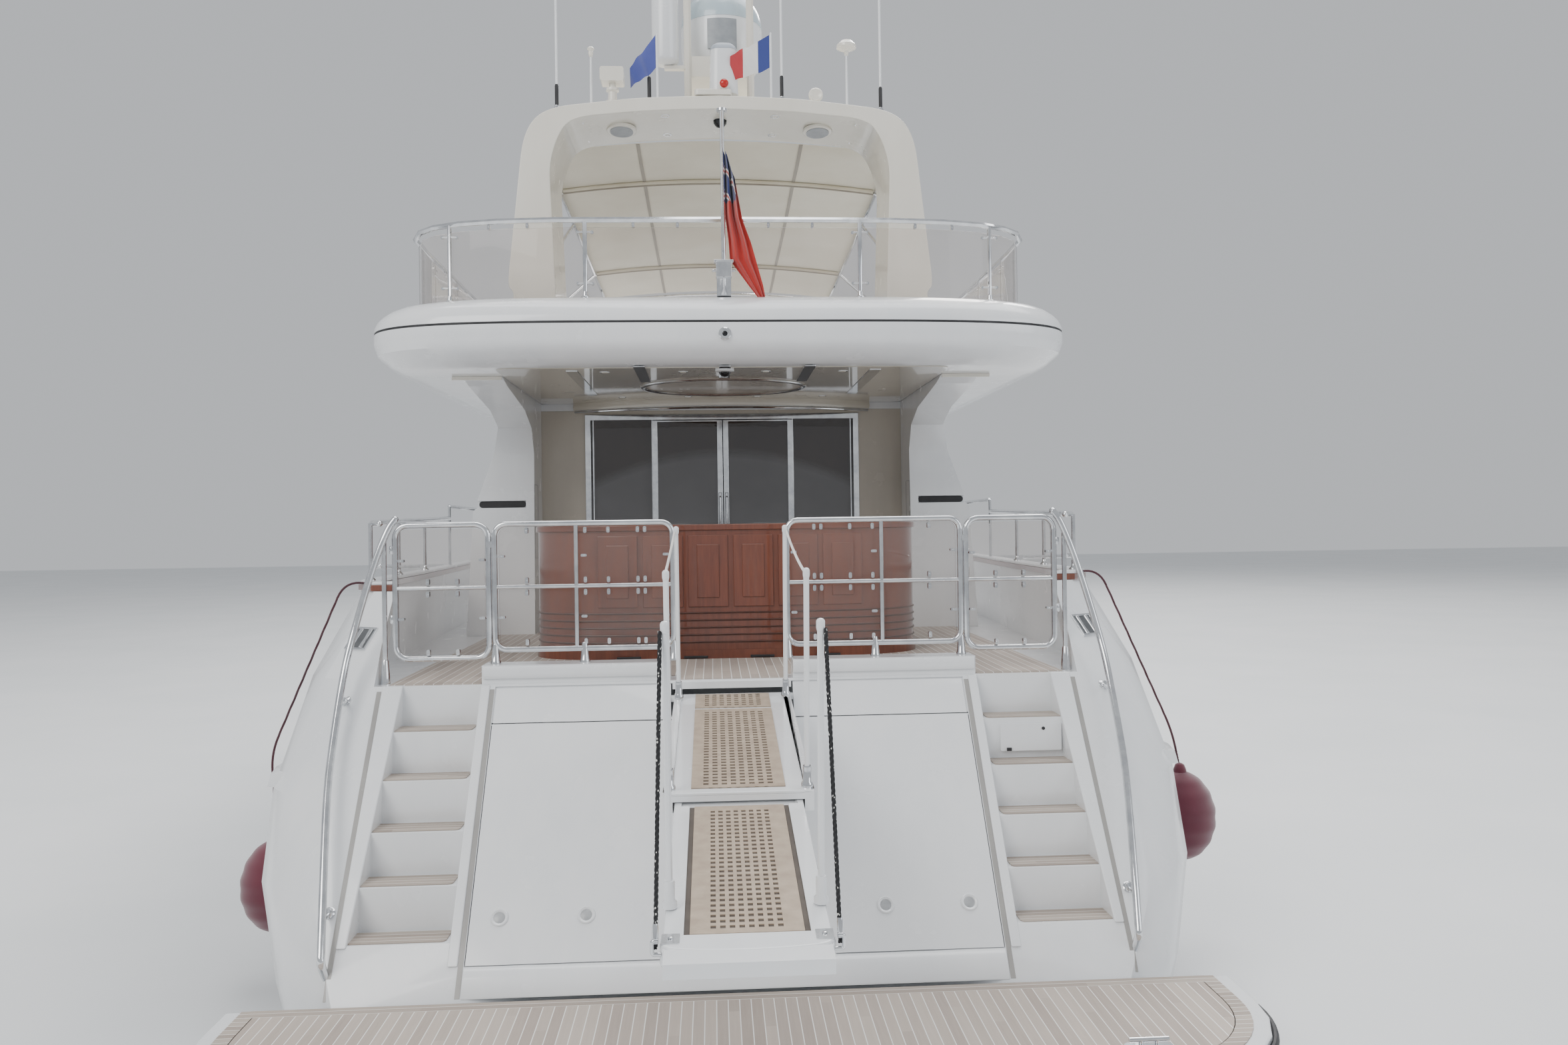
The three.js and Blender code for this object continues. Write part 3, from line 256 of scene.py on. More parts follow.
slotOfFinish = {
    "polishedSteel": "steel", "tintedGlass": "dark_glass", "smokedGlass": "dark_glass", "clearPanel": "clear_panel",
    "warmLamp": "clear_panel", "teakPlanks": "teak", "teakCross": "teak", "varnishedMahogany": "mahogany",
    "creamVinyl": "vinyl", "awningCloth": "canvas", "maroonCover": "fender_maroon",
}


def piece(name, shapes, material, body="yacht", slotName=None, sharp=40, bevel=0.0, node=None):
    # One object from one or more (points, faces), doubles merged and faces turned outwards. A slot name is worked out
    # from its finish unless another is named, but nothing uses it; a node it stands for is hidden.
    points, faces = joined(shapes if isinstance(shapes, list) else [shapes])
    mesh = bpy.data.meshes.new(name)
    mesh.from_pydata(points.tolist(), [], faces)
    bm = bmesh.new()
    bm.from_mesh(mesh)
    bmesh.ops.remove_doubles(bm, verts=bm.verts, dist=1e-5)
    bmesh.ops.recalc_face_normals(bm, faces=bm.faces)
    bm.to_mesh(mesh)
    bm.free()
    slotName = slotName or slotOfFinish.get(material.name, "gelcoat")
    obj = finished(name, mesh, material, body, sharp, bevel)
    if node:
        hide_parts(node)
    return obj


def dressed(node, material, bevel=0.004, sharp=30):
    # The node's own shape, merged and with its edges softened, in its finish
    bm = bmesh.new()
    bm.from_mesh(nodes[node].data)
    bmesh.ops.remove_doubles(bm, verts=bm.verts, dist=2e-5)
    bmesh.ops.dissolve_limit(bm, angle_limit=math.radians(0.2), verts=bm.verts, edges=bm.edges)
    mesh = bpy.data.meshes.new(node + "_form")
    bm.to_mesh(mesh)
    bm.free()
    obj = finished(node + "_form", mesh, material, bodyOfNode[node], sharp, bevel)
    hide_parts(node)
    return obj


# Finishes, all on Object coordinates
def newMaterial(name, **sockets):
    # A node material whose shader starts from the given sockets
    mat = bpy.data.materials.new(name)
    mat.use_nodes = True
    shader = mat.node_tree.nodes["Principled BSDF"]
    for socket, value in sockets.items():
        shader.inputs[socket.replace("_", " ")].default_value = value
    return mat


def addNode(mat, kind, settings=None, inputs=None):
    # A node whose inputs are linked, or set where a plain value is given
    made = mat.node_tree.nodes.new(kind)
    for key, value in (settings or {}).items():
        setattr(made, key, value)
    for key, value in (inputs or {}).items():
        if isinstance(value, bpy.types.NodeSocket):
            mat.node_tree.links.new(value, made.inputs[key])
        else:
            made.inputs[key].default_value = value
    return made


def objectPoint(mat, scale=(1, 1, 1), turn=(0, 0, 0)):
    # Object coordinates, scaled and turned
    coords = addNode(mat, "ShaderNodeTexCoord").outputs["Object"]
    return addNode(mat, "ShaderNodeMapping", None, {"Vector": coords, "Scale": scale, "Rotation": turn}).outputs[0]


def noise(mat, vector, scale, detail=3.0, rough=0.55):
    # Fractal noise from 0 to 1
    made = addNode(mat, "ShaderNodeTexNoise", None, {"Vector": vector, "Scale": scale, "Detail": detail,
                                                     "Roughness": rough})
    return made.outputs["Fac"]


def ramp(mat, value, stops):
    # A value turned into a colour between stops of (position, colour)
    made = addNode(mat, "ShaderNodeValToRGB", None, {"Fac": value})
    bar = made.color_ramp.elements
    while len(bar) < len(stops):
        bar.new(0.5)
    for stop, (at, color) in zip(bar, stops):
        stop.position = at
        stop.color = (*color, 1)
    return made.outputs["Color"]


def mottled(mat, point, scale, detail, dark, light, at=(0.3, 0.7)):
    # Noise that wanders from one colour to another
    return ramp(mat, noise(mat, point, scale, detail), [(at[0], dark), (at[1], light)])


def coordinates(mat, point=None):
    # The x, y and z of a point, the object's own unless another is given
    return addNode(mat, "ShaderNodeSeparateXYZ", None, {"Vector": point or objectPoint(mat)}).outputs


def maths(mat, operation, a, b=0.0, c=0.0):
    # One operation on up to three values
    return addNode(mat, "ShaderNodeMath", {"operation": operation}, {0: a, 1: b, 2: c}).outputs[0]


def mixColor(mat, share, a, b, blend="MIX"):
    # From colour a to colour b by a share, or another blend of the two
    made = addNode(mat, "ShaderNodeMix", {"data_type": "RGBA", "blend_type": blend})
    for key, value in ((0, share), (6, a), (7, b)):
        if isinstance(value, bpy.types.NodeSocket):
            mat.node_tree.links.new(value, made.inputs[key])
        else:
            made.inputs[key].default_value = value if key == 0 else (*value, 1)
    return made.outputs[2]


def finish(mat, color=None, rough=None, height=None, depth=0.001, strength=0.5):
    # Colour and roughness linked to the shader, and a bump whose relief is height times depth
    shader = mat.node_tree.nodes["Principled BSDF"]
    link = mat.node_tree.links.new
    if color is not None:
        link(color, shader.inputs["Base Color"])
    if rough is not None:
        link(rough, shader.inputs["Roughness"])
    if height is not None:
        bump = addNode(mat, "ShaderNodeBump", None, {"Height": height, "Distance": depth, "Strength": strength})
        link(bump.outputs[0], shader.inputs["Normal"])
    return mat


def span(mat, value, low, high):
    # A value from 0..1 stretched to low..high
    return addNode(mat, "ShaderNodeMapRange", None, {"Value": value, "To Min": low, "To Max": high}).outputs[0]


def gelcoatFinish(name, light, shade, coat=0.5):
    # Glossy moulded skin: faint clouds of tone, fine ripple, patches of duller polish
    mat = newMaterial(name, Coat_Weight=coat, Coat_Roughness=0.06, IOR=1.5)
    p = objectPoint(mat)
    cloud = noise(mat, p, 0.9, 4)
    streak = noise(mat, objectPoint(mat, (1, 1, 0.12)), 7.0, 4)
    tone = maths(mat, "MULTIPLY_ADD", streak, 0.35, maths(mat, "MULTIPLY", cloud, 0.65))
    color = ramp(mat, tone, [(0.3, shade), (0.62, light)])
    polish = span(mat, noise(mat, p, 3.5, 5), 0.16, 0.34)
    return finish(mat, color, polish, noise(mat, p, 38, 2), 0.0006, 0.25)


def plankFinish(name, width, wood, dark, seam, along="y", seamWidth=0.09):
    # Laid planks: share of a plank's width gives the seam, its number gives its own tone, grain runs along it
    mat = newMaterial(name, Roughness=0.7)
    x, y = coordinates(mat)[:2]
    across, length = (x, y) if along == "y" else (y, x)
    place = maths(mat, "DIVIDE", across, width)
    share = maths(mat, "FRACT", place)
    number = maths(mat, "FLOOR", place)
    butt = maths(mat, "FLOOR", maths(mat, "MULTIPLY_ADD", length, 0.55, maths(mat, "MULTIPLY", number, 0.37)))
    seed = addNode(mat, "ShaderNodeCombineXYZ", None, {0: number, 1: butt})
    own = addNode(mat, "ShaderNodeTexWhiteNoise", None, {"Vector": seed.outputs[0]}).outputs["Value"]
    grainScale = (60, 3, 60) if along == "y" else (3, 60, 60)
    grain = noise(mat, objectPoint(mat, grainScale), 1.0, 6, 0.65)
    worn = noise(mat, objectPoint(mat), 2.2, 4)
    wear = maths(mat, "MULTIPLY_ADD", grain, 0.4, maths(mat, "MULTIPLY", worn, 0.2))
    tone = maths(mat, "MULTIPLY_ADD", own, 0.45, wear)
    base = ramp(mat, tone, [(0.2, dark), (0.8, wood)])
    edge = maths(mat, "LESS_THAN", maths(mat, "PINGPONG", share, 0.5), seamWidth / 2)
    color = mixColor(mat, edge, base, seam)
    return finish(mat, color, None, maths(mat, "MULTIPLY_ADD", edge, -0.7, grain), 0.0015, 0.6)


def varnishFinish(name, light, dark):
    # Varnished wood: long grain up and down under a clear glossy coat
    mat = newMaterial(name, Coat_Weight=1.0, Coat_Roughness=0.04, Roughness=0.35)
    grain = noise(mat, objectPoint(mat, (14, 14, 1.2)), 2.2, 8, 0.7)
    broad = noise(mat, objectPoint(mat, (1.2, 1.2, 0.35)), 1.5, 3)
    tone = maths(mat, "MULTIPLY_ADD", grain, 0.6, maths(mat, "MULTIPLY", broad, 0.4))
    color = ramp(mat, tone, [(0.32, dark), (0.68, light)])
    return finish(mat, color, None, grain, 0.0004, 0.2)


def metalFinish(name, light, shade, low, high, scale=9.0):
    # Polished or brushed metal: tone and polish vary a little over the piece
    mat = newMaterial(name, Metallic=1.0)
    p = objectPoint(mat)
    color = mottled(mat, p, scale, 4, shade, light, (0.35, 0.65))
    polish = span(mat, noise(mat, p, scale * 4, 4), low, high)
    return finish(mat, color, polish, noise(mat, p, 120, 2), 0.0002, 0.15)


def glassFinish(name, tint, clear, rough=0.03, ior=1.45):
    # Tinted sheet, clear by a share: its tint and its smears vary a little
    mat = newMaterial(name, Transmission_Weight=clear, IOR=ior, Base_Color=(*tint, 1))
    p = objectPoint(mat)
    smear = span(mat, noise(mat, p, 5, 5), rough * 0.5, rough * 2)
    color = mottled(mat, p, 1.2, 3, tuple(0.93 * c for c in tint), tint)
    return finish(mat, color, smear, noise(mat, p, 2.5, 2), 0.0005, 0.1)


def clothFinish(name, light, dark, threads=900.0, sheen=0.3, rough=0.85):
    # Woven cloth: two crossing sets of threads, soft stains and sun fading
    mat = newMaterial(name, Sheen_Weight=sheen, Roughness=rough)
    p = objectPoint(mat)
    waves = [addNode(mat, "ShaderNodeTexWave", {"bands_direction": d}, {"Vector": p, "Scale": threads / 6.3,
                                                                        "Distortion": 0.4}).outputs["Fac"]
             for d in ("X", "Z")]
    weave = maths(mat, "MULTIPLY", waves[0], waves[1])
    color = mottled(mat, p, 1.7, 5, dark, light)
    return finish(mat, color, None, weave, 0.0006, 0.4)


def leatherFinish(name, light, dark):
    # Grained vinyl: small cells with creases between them
    mat = newMaterial(name, Roughness=0.5, Coat_Weight=0.15)
    p = objectPoint(mat)
    cells = addNode(mat, "ShaderNodeTexVoronoi", None, {"Vector": p, "Scale": 170.0}).outputs["Distance"]
    color = mottled(mat, p, 2.5, 4, dark, light)
    return finish(mat, color, None, cells, 0.0008, 0.35)


def plainFinish(name, light, dark, low, high, scale=14.0, depth=0.0006):
    # Moulded rubber or plastic: faint mottling and a fine skin
    mat = newMaterial(name)
    p = objectPoint(mat)
    color = mottled(mat, p, scale, 4, dark, light)
    polish = span(mat, noise(mat, p, scale * 2, 4), low, high)
    return finish(mat, color, polish, noise(mat, p, scale * 9, 3), depth, 0.3)


white = gelcoatFinish("whiteGelcoat", (0.83, 0.84, 0.85), (0.76, 0.78, 0.8))
cream = gelcoatFinish("creamGelcoat", (0.82, 0.79, 0.71), (0.75, 0.71, 0.62))
beige = gelcoatFinish("beigePanel", (0.6, 0.55, 0.47), (0.52, 0.47, 0.4), 0.3)
teak = plankFinish("teakPlanks", 0.062, (0.52, 0.45, 0.39), (0.36, 0.3, 0.26), (0.78, 0.77, 0.74))
teakCross = plankFinish("teakCross", 0.05, (0.46, 0.4, 0.345), (0.32, 0.265, 0.225), (0.76, 0.74, 0.7), "x")
mahogany = varnishFinish("varnishedMahogany", (0.22, 0.058, 0.025), (0.1, 0.024, 0.012))
chrome = metalFinish("polishedSteel", (0.78, 0.79, 0.8), (0.62, 0.63, 0.65), 0.05, 0.13)
bronze = metalFinish("seaBronze", (0.66, 0.48, 0.24), (0.42, 0.3, 0.15), 0.3, 0.55)
clearPanel = glassFinish("clearPanel", (0.93, 0.9, 0.88), 0.96, 0.02, 1.18)
darkGlass = glassFinish("tintedGlass", (0.012, 0.013, 0.015), 0.0, 0.05)
doorGlass = glassFinish("smokedGlass", (0.16, 0.13, 0.125), 0.35, 0.02, 1.75)


def paneToneWithPaintedReflection(mat):
    # Brown film above, and below it a paler grey that is a painted reflection, meeting in a soft bowed edge
    at = coordinates(mat)
    level = maths(mat, "ADD", at[2], maths(mat, "MULTIPLY", maths(mat, "MULTIPLY", at[0], at[0]), 0.18))
    edge = {"Value": level, "From Min": 3.66, "From Max": 3.78}
    share = addNode(mat, "ShaderNodeMapRange", None, edge).outputs[0]
    mottle = noise(mat, objectPoint(mat), 1.3, 3)
    # Painted reflection: the paler grey of the pane's lower part
    low = ramp(mat, mottle, [(0.3, (0.17, 0.165, 0.17)), (0.7, (0.21, 0.205, 0.21))])
    high = ramp(mat, mottle, [(0.3, (0.05, 0.036, 0.032)), (0.7, (0.075, 0.055, 0.045))])
    finish(mat, mixColor(mat, share, low, high))


paneToneWithPaintedReflection(doorGlass)
canvas = clothFinish("awningCloth", (0.86, 0.81, 0.68), (0.78, 0.72, 0.58))
vinyl = leatherFinish("creamVinyl", (0.8, 0.77, 0.7), (0.7, 0.66, 0.58))
rubber = plainFinish("blackRubber", (0.03, 0.03, 0.032), (0.018, 0.018, 0.02), 0.45, 0.7)
maroon = clothFinish("maroonCover", (0.14, 0.018, 0.036), (0.085, 0.01, 0.023), 700, 0.5)
# Dark grey for the hatch's joint lines, and as painted shade inside the fairlead holes
jointGreyAndHoleShade = plainFinish("darkGreyJointsAndHoleShade", (0.1, 0.105, 0.11), (0.07, 0.073, 0.078), 0.3, 0.5)
lampGlass = plainFinish("warmLamp", (0.9, 0.86, 0.75), (0.8, 0.76, 0.65), 0.12, 0.25)
redLamp = plainFinish("redLamp", (0.55, 0.02, 0.015), (0.42, 0.014, 0.011), 0.1, 0.2)
greenLamp = plainFinish("greenLamp", (0.015, 0.32, 0.12), (0.01, 0.24, 0.09), 0.1, 0.2)
# Painted shade for the transom's channels: the grey is partly a gasket line, partly the shadow in the channel
shade = gelcoatFinish("channelShade", (0.36, 0.35, 0.33), (0.28, 0.27, 0.26), 0.2)
print("finishes made")

# Studio: pale floor at the waterline, broad soft lights
studio = {"floorHalf": 90, "sky": 0.62, "key": 3400, "fill": 1000, "top": 5200, "bow": 11000}


def makeStudio(v):
    # A floor at the waterline under a pale sky and broad lamps
    h = v["floorHalf"]
    mesh = bpy.data.meshes.new("waterlineFloor")
    mesh.from_pydata([(-h, -h, 0), (h, -h, 0), (h, h, 0), (-h, h, 0)], [], [(0, 1, 2, 3)])
    floor = bpy.data.objects.new("waterlineFloor", mesh)
    bpy.context.collection.objects.link(floor)
    mat = newMaterial("paleFloor", Roughness=0.6)
    finish(mat, mottled(mat, objectPoint(mat), 0.4, 3, (0.7, 0.72, 0.73), (0.75, 0.76, 0.77)))
    mesh.materials.append(mat)
    world = bpy.data.worlds.new("studioSky")
    bpy.context.scene.world = world
    world.use_nodes = True
    world.node_tree.nodes["Background"].inputs[0].default_value = (0.93, 0.96, 1.0, 1)
    world.node_tree.nodes["Background"].inputs[1].default_value = v["sky"]
    lamps = [
        ("key", (-14, -27, 17), (0, -9, 2), 14, (1, 0.98, 0.95)),
        ("fill", (19, -22, 10), (0, -9, 3), 12, (0.93, 0.96, 1)),
        ("top", (3, -2, 24), (0, -4, 0), 22, (1, 1, 1)),
        ("bow", (12, 26, 34), (0, 4, 2), 16, (1, 0.98, 0.96)),
    ]
    for name, place, target, size, color in lamps:
        data = bpy.data.lights.new(name + "Light", "AREA")
        data.energy = v[name]
        data.size = size
        data.color = color
        lamp = bpy.data.objects.new(name + "Light", data)
        bpy.context.collection.objects.link(lamp)
        lamp.location = place
        aim = Vector(target) - Vector(place)
        lamp.rotation_euler = aim.to_track_quat("-Z", "Y").to_euler()


makeStudio(studio)
print("studio made")

# Mouldings that keep the frame's own shape
hullPaint = gelcoatFinish("hullPaint", (0.83, 0.84, 0.85), (0.76, 0.78, 0.8))


def paintBelow(mat, level, light, dark):
    # The same finish, changing to dull antifouling under a level, with the paint's edge a narrow step
    shader = mat.node_tree.nodes["Principled BSDF"]
    p = objectPoint(mat)
    wet = maths(mat, "LESS_THAN", coordinates(mat, p)[2], level)
    above = shader.inputs["Base Color"].links[0].from_socket
    polish = shader.inputs["Roughness"].links[0].from_socket
    paint = mottled(mat, p, 2.5, 5, dark, light)
    rough = maths(mat, "MAXIMUM", polish, maths(mat, "MULTIPLY", wet, 0.75))
    coat = maths(mat, "MULTIPLY_ADD", wet, -0.5, 0.5)
    mat.node_tree.links.new(coat, shader.inputs["Coat Weight"])
    finish(mat, mixColor(mat, wet, above, paint), rough)


paintBelow(hullPaint, 0.03, (0.05, 0.06, 0.1), (0.03, 0.038, 0.065))
dressed("hull", hullPaint, 0.006, 28)
dressed("garage_door", white, 0.004)
for node in ("saloon_roof", "saloon_front", "saloon_side_port", "saloon_side_stbd", "helm_console"):
    dressed(node, white, 0.006, 32)
for node in ("wing_plate_port", "wing_plate_stbd"):
    dressed(node, white, 0.03, 42)
dressed("mast", cream, 0.006)
dressed("saloon_bulkhead", beige, 0.003)
dressed("swim_platform", white, 0.012)
for node in ("shaft_port", "shaft_stbd", "propeller_port", "propeller_stbd", "rudder_port", "rudder_stbd"):
    dressed(node, bronze, 0.003, 35)
for node in ("side_glass_port", "side_glass_stbd", "windscreen_glass", "fly_windscreen"):
    dressed(node, darkGlass, 0.0)
print("mouldings dressed")

# Stern: levels and rake shared by what is fitted there, teak on the treads and decks, the platform's trim
platformZ, deckZ, coamingZ = 0.4, 1.98, 2.1
footY, topY = -11.8, -10.62
stairIn, stairOut = 1.61, 2.23
treads = 5
riser = (deckZ - platformZ) / (treads + 1)
foredeckZ = 2.76
lift = 0.0004                 # how far a loose piece stands clear of the surface under it
transomOut = unit(np.array([0, -1.0, (topY - footY) / (deckZ - platformZ)]))


def transomY(z):
    # The raked transom: from the platform's level up to the deck
    return footY + (z - platformZ) * (topY - footY) / (deckZ - platformZ)


def roundRect(x0, x1, y0, y1, r, n=5):
    # A rectangle with round corners, anticlockwise
    a = np.linspace(0, math.pi / 2, n)
    corners = [(x1 - r, y1 - r, 0), (x0 + r, y1 - r, 1), (x0 + r, y0 + r, 2), (x1 - r, y0 + r, 3)]
    return np.concatenate([np.stack([cx + r * np.cos(a + k * math.pi / 2), cy + r * np.sin(a + k * math.pi / 2)], 1)
                           for cx, cy, k in corners])


hullMesh = nodes["hull"].data
hullTree = BVHTree.FromPolygons([v.co for v in hullMesh.vertices], [f.vertices for f in hullMesh.polygons])


def onHull(start, way):
    # Where a straight line meets the hull, and the skin's outward normal there
    place, normal = hullTree.ray_cast(Vector(start), Vector(way))[:2]
    return np.array(place), np.array(normal) * (-1 if normal.dot(Vector(way)) > 0 else 1)


def astern(x, z):
    # The hull's skin as met from astern
    return onHull((x, -20, z), (0, 1, 0))


def abeam(s, y, z):
    # The hull's skin as met from the side s
    return onHull((s * 6, y, z), (-s, 0, 0))


def laid(shape, place, normal):
    # A shape drawn as (across, inward, up) set on a skin: across is level, inward runs against the normal
    across = unit(np.cross((0, 0, 1.0), -normal))
    up = np.cross(across, -normal)
    p = np.asarray(shape[0])
    return place + p[:, :1] * across - p[:, 1:2] * normal + p[:, 2:] * up, shape[1]


stern = {"teakThick": 0.007, "noseX": 0.03, "cockpitHalf": 2.2, "doorY": -6.52}


def sternTeak(v):
    # Pads on the treads, a tread's rise and going apart, and the cockpit deck's boards
    going = (topY - footY) / (treads + 1)
    t, half = v["teakThick"], v["cockpitHalf"]
    pads = []
    for i in range(1, treads + 1):
        z = platformZ + riser * i
        y = transomY(z)
        for s in (-1, 1):
            tread = onSide(s, stairIn + v["noseX"], stairOut - v["noseX"])
            pads.append(slab(roundRect(*tread, y + 0.02, y + going + 0.012, 0.03), z, z + t))
    piece("stair_teak", pads, teakCross, bevel=0.002)
    deck = [block((-half, half), (-10.4, v["doorY"]), (deckZ, deckZ + t))]
    deck += [block(x, (topY + 0.03, -10.4), (deckZ, deckZ + t))
             for x in (onSide(-1, 1.62, half), onSide(1, 1.62, half), (-0.36, 0.36))]
    piece("cockpit_teak", deck, teak)


sternTeak(stern)

platform = {"half": 2.76, "cornerR": 0.855, "aftY": -13.0, "inset": 0.09, "border": 0.085,
            "cleatX": 1.98, "cleatY": -12.67}


def platformPlan(inset, n=14):
    # The platform's outline: straight front, two quarter-circle corners, straight aft edge
    r, half, aft = platform["cornerR"] - inset, platform["half"] - inset, platform["aftY"] + inset
    a = np.linspace(0, math.pi / 2, n)
    right = np.stack([half - r * (1 - np.cos(a)), aft + r * (1 - np.sin(a))], 1)
    front = footY - 0.012
    return np.concatenate([[(half, front)], right, right[::-1] * (-1, 1), [(-half, front)]])


def platformTop(v):
    # Teak inside an inset plan, a border ring round it, the rubber rail along its edge and two cleats
    t = 0.006
    inner = platformPlan(v["inset"] + v["border"])
    outer = platformPlan(v["inset"])
    piece("platform_teak", slab(inner, platformZ, platformZ + t), teak)
    narrow = inner * (0.998, 1)
    border = [atHeight(flat, z) for flat, z in
              ((outer, platformZ), (outer, platformZ + t), (narrow, platformZ + t), (narrow, platformZ))]
    frame = (np.concatenate(border), gridFaces(4, len(outer), True, True))
    plank = block((-2.62, 2.62), (footY - 0.1, footY - 0.012), (platformZ, platformZ + t + 0.001))
    piece("platform_border", [frame, plank], teakCross)
    path = atHeight(platformPlan(-0.012, 18), platformZ - 0.05)
    piece("platform_fender_strip", sweep(path[1:-1], circleOf(0.02, 10, 1.3), ref=(0, 0, 1)), rubber)
    y, low, high, r = v["cleatY"], platformZ + 0.01, platformZ + 0.045, 0.012
    cleats = []
    for x in (-v["cleatX"], v["cleatX"]):
        cleats.append(slab(roundRect(x - 0.12, x + 0.12, y - 0.05, y + 0.05, 0.04), platformZ + t, platformZ + 0.014))
        cleats.append(tube([(x - 0.1, y, high), (x + 0.1, y, high)], r))
        cleats += [tube([(x + d, y, low), (x + d, y, high)], r) for d in (-0.04, 0.04)]
    piece("platform_cleats", cleats, chrome, bevel=0.002)


platformTop(platform)
print("teak laid")

# Flybridge: a smooth moulded deck with its overhang, wall and rubber line
fly = {"half": 2.79, "aftY": -9.5, "sternRound": 1.15, "frontY": 1.9, "ceilingZ": 4.22, "floorZ": 4.38,
       "topZ": 4.74, "wallZ": 5.25, "grooveZ": 4.515, "wallY": (-5.3, 0.7)}


def flyPlan(inset, n=72):
    # Six straight points round the front, then a stern curve: x = half sgn(c)|c|^0.45, y = aft + R(1 - sin^0.55)
    half, aft, r = fly["half"] - inset, fly["aftY"] + inset, fly["sternRound"]
    front = np.array([(-1, 1.0), (-0.86, 0.4), (-0.5, 0), (0.5, 0), (0.86, 0.4), (1, 1.0)])
    head = np.stack([half * front[:, 0], fly["frontY"] - inset - front[:, 1]], 1)
    head = roundPath(head, 0.3, 4)
    a = np.linspace(0, math.pi, n + 1)
    c, s = np.cos(a), np.maximum(np.sin(a), 0)
    c[np.abs(c) < 1e-9] = 0
    tail = np.stack([half * np.sign(c) * np.abs(c) ** 0.45, aft + r * (1 - s**0.55)], 1)
    return np.concatenate([head, tail])


def flybridgeShell(v):
    # Section of the edge as (inset, height): ceiling, bullnose, groove, rounded coaming, well
    heights = np.array([v["ceilingZ"], 4.232, 4.265, 4.305, 4.345, 4.39, 4.43, 4.48])
    lower = list(zip(np.interp(heights, [v["ceilingZ"], 4.265, 4.345, 4.43], [0.3, 0.115, 0.025, 0]), heights))
    lower[1] = (0.2, 4.228)
    groove = [(0, 4.506), (0.016, 4.507), (0.016, 4.523), (0, 4.524)]
    upper = [(0.004, 4.56), (0.022, 4.605), (0.052, 4.645), (0.095, 4.685), (0.15, 4.717), (0.2, 4.733)]
    well = [(0.24, v["topZ"]), (0.42, v["topZ"]), (0.425, 4.73), (0.425, v["floorZ"])]
    levels = [atHeight(flyPlan(inset), z) for inset, z in lower + groove + upper + well]
    piece("flybridge_shell", capped(levels), white, sharp=34, node="flybridge_deck")
    line = atHeight(flyPlan(0.012), v["grooveZ"])
    piece("flybridge_rubber_line", sweep(line, circleOf(0.014, 8), (0, 0, 1), True), rubber)
    # The wall's section as (inset, whether it is the foot), run forward, round the front and aft again
    run = np.linspace(*v["wallY"], 30)
    rings = []
    for inset, low in ((0.06, True), (0.06, False), (0.085, False), (0.165, False), (0.19, False), (0.19, True)):
        front = flyPlan(inset)[:18]
        sideX = v["half"] - inset
        p = np.concatenate([np.c_[np.full(30, -sideX), run], front, np.c_[np.full(30, sideX), run[::-1]]])
        top = np.interp(p[:, 1], [-5.3, -3.9, -3.5], [v["topZ"] + 0.002, v["wallZ"] - 0.06, v["wallZ"]])
        lowered = 0.02 if inset in (0.06, 0.19) else 0
        rings.append(atHeight(p, v["topZ"] - 0.06 if low else top - lowered))
    rows, cols = len(rings), len(rings[0])
    faces = gridFaces(rows, cols, True, False)
    faces += [[k * cols for k in range(rows)], [k * cols + cols - 1 for k in range(rows)][::-1]]
    piece("flybridge_wall", (np.concatenate(rings), faces), white, sharp=34, node="flybridge_deck")


flybridgeShell(fly)
print("flybridge moulded")

# Doors: polished frames, smoked panes, slim pulls
doors = {"y": -6.5, "half": 1.37, "low": 1.9804, "top": 4.11, "frame": 0.055}


def framePlate(x0, x1, z0, z1, w, y0, y1):
    # A rectangular frame of section w, from y0 to y1
    loops = [[(x0 + i, y, z0 + i), (x1 - i, y, z0 + i), (x1 - i, y, z1 - i), (x0 + i, y, z1 - i)]
             for i, y in ((0, y0), (0, y1), (w, y1), (w, y0))]
    return np.concatenate(loops), gridFaces(4, 4, True, True)


def saloonDoors(v):
    # Fixed outer panes between posts, and two sliding leaves with a pull each
    y, low, top, f = v["y"], v["low"], v["top"], v["frame"]
    rim = framePlate(-v["half"], v["half"], low, top, f, y + 0.01, y + 0.13)
    posts = [block(onSide(s, 0.66, 0.715), (y + 0.084, y + 0.112), (low + 0.02, top - f)) for s in (-1, 1)]
    ribs = [block(onSide(s, 1.29, 1.302), (y + 0.082, y + 0.09), (low + 0.04, top - f)) for s in (-1, 1)]
    piece("door_frame_form", [rim, *posts, *ribs], chrome, bevel=0.003, node="saloon_door_frame")
    fixed = [block(onSide(s, 0.7, v["half"] - f + 0.003), (y + 0.092, y + 0.104), (low + 0.03, top - f + 0.003))
             for s in (-1, 1)]
    piece("door_fixed_panes", fixed, doorGlass, node="saloon_door_frame")
    for side, s in sides:
        b, t = low + 0.0254, top - f - 0.006
        x0, x1 = onSide(s, 0.004, 0.705)
        leaf = framePlate(x0, x1, b, t, 0.052, y + 0.036, y + 0.07)
        leaf[0][8:, 2] = np.where(leaf[0][8:, 2] > 3, t - 0.012, leaf[0][8:, 2])
        pullX, pullLow, pullTop = s * 0.032, 2.88, 3.28
        route = [(pullX, y + 0.04, pullLow), (pullX, y - 0.02, pullLow), (pullX, y - 0.02, pullTop),
                 (pullX, y + 0.04, pullTop)]
        recess = framePlate(pullX - 0.016, pullX + 0.016, 2.84, 3.32, 0.004, y + 0.03, y + 0.037)
        piece("door_leaf_form_" + side, [leaf, tube(route, 0.009, 0.015)], chrome, "door_" + side, bevel=0.002,
              node="door_leaf_" + side)
        pane = block(onSide(s, 0.05, 0.66), (y + 0.048, y + 0.056), (b + 0.045, t - 0.006))
        piece("door_pane_" + side, pane, doorGlass, "door_" + side, node="door_leaf_" + side)
        piece("door_pull_rim_" + side, recess, rubber, "door_" + side, "steel")


saloonDoors(doors)
print("doors hung")

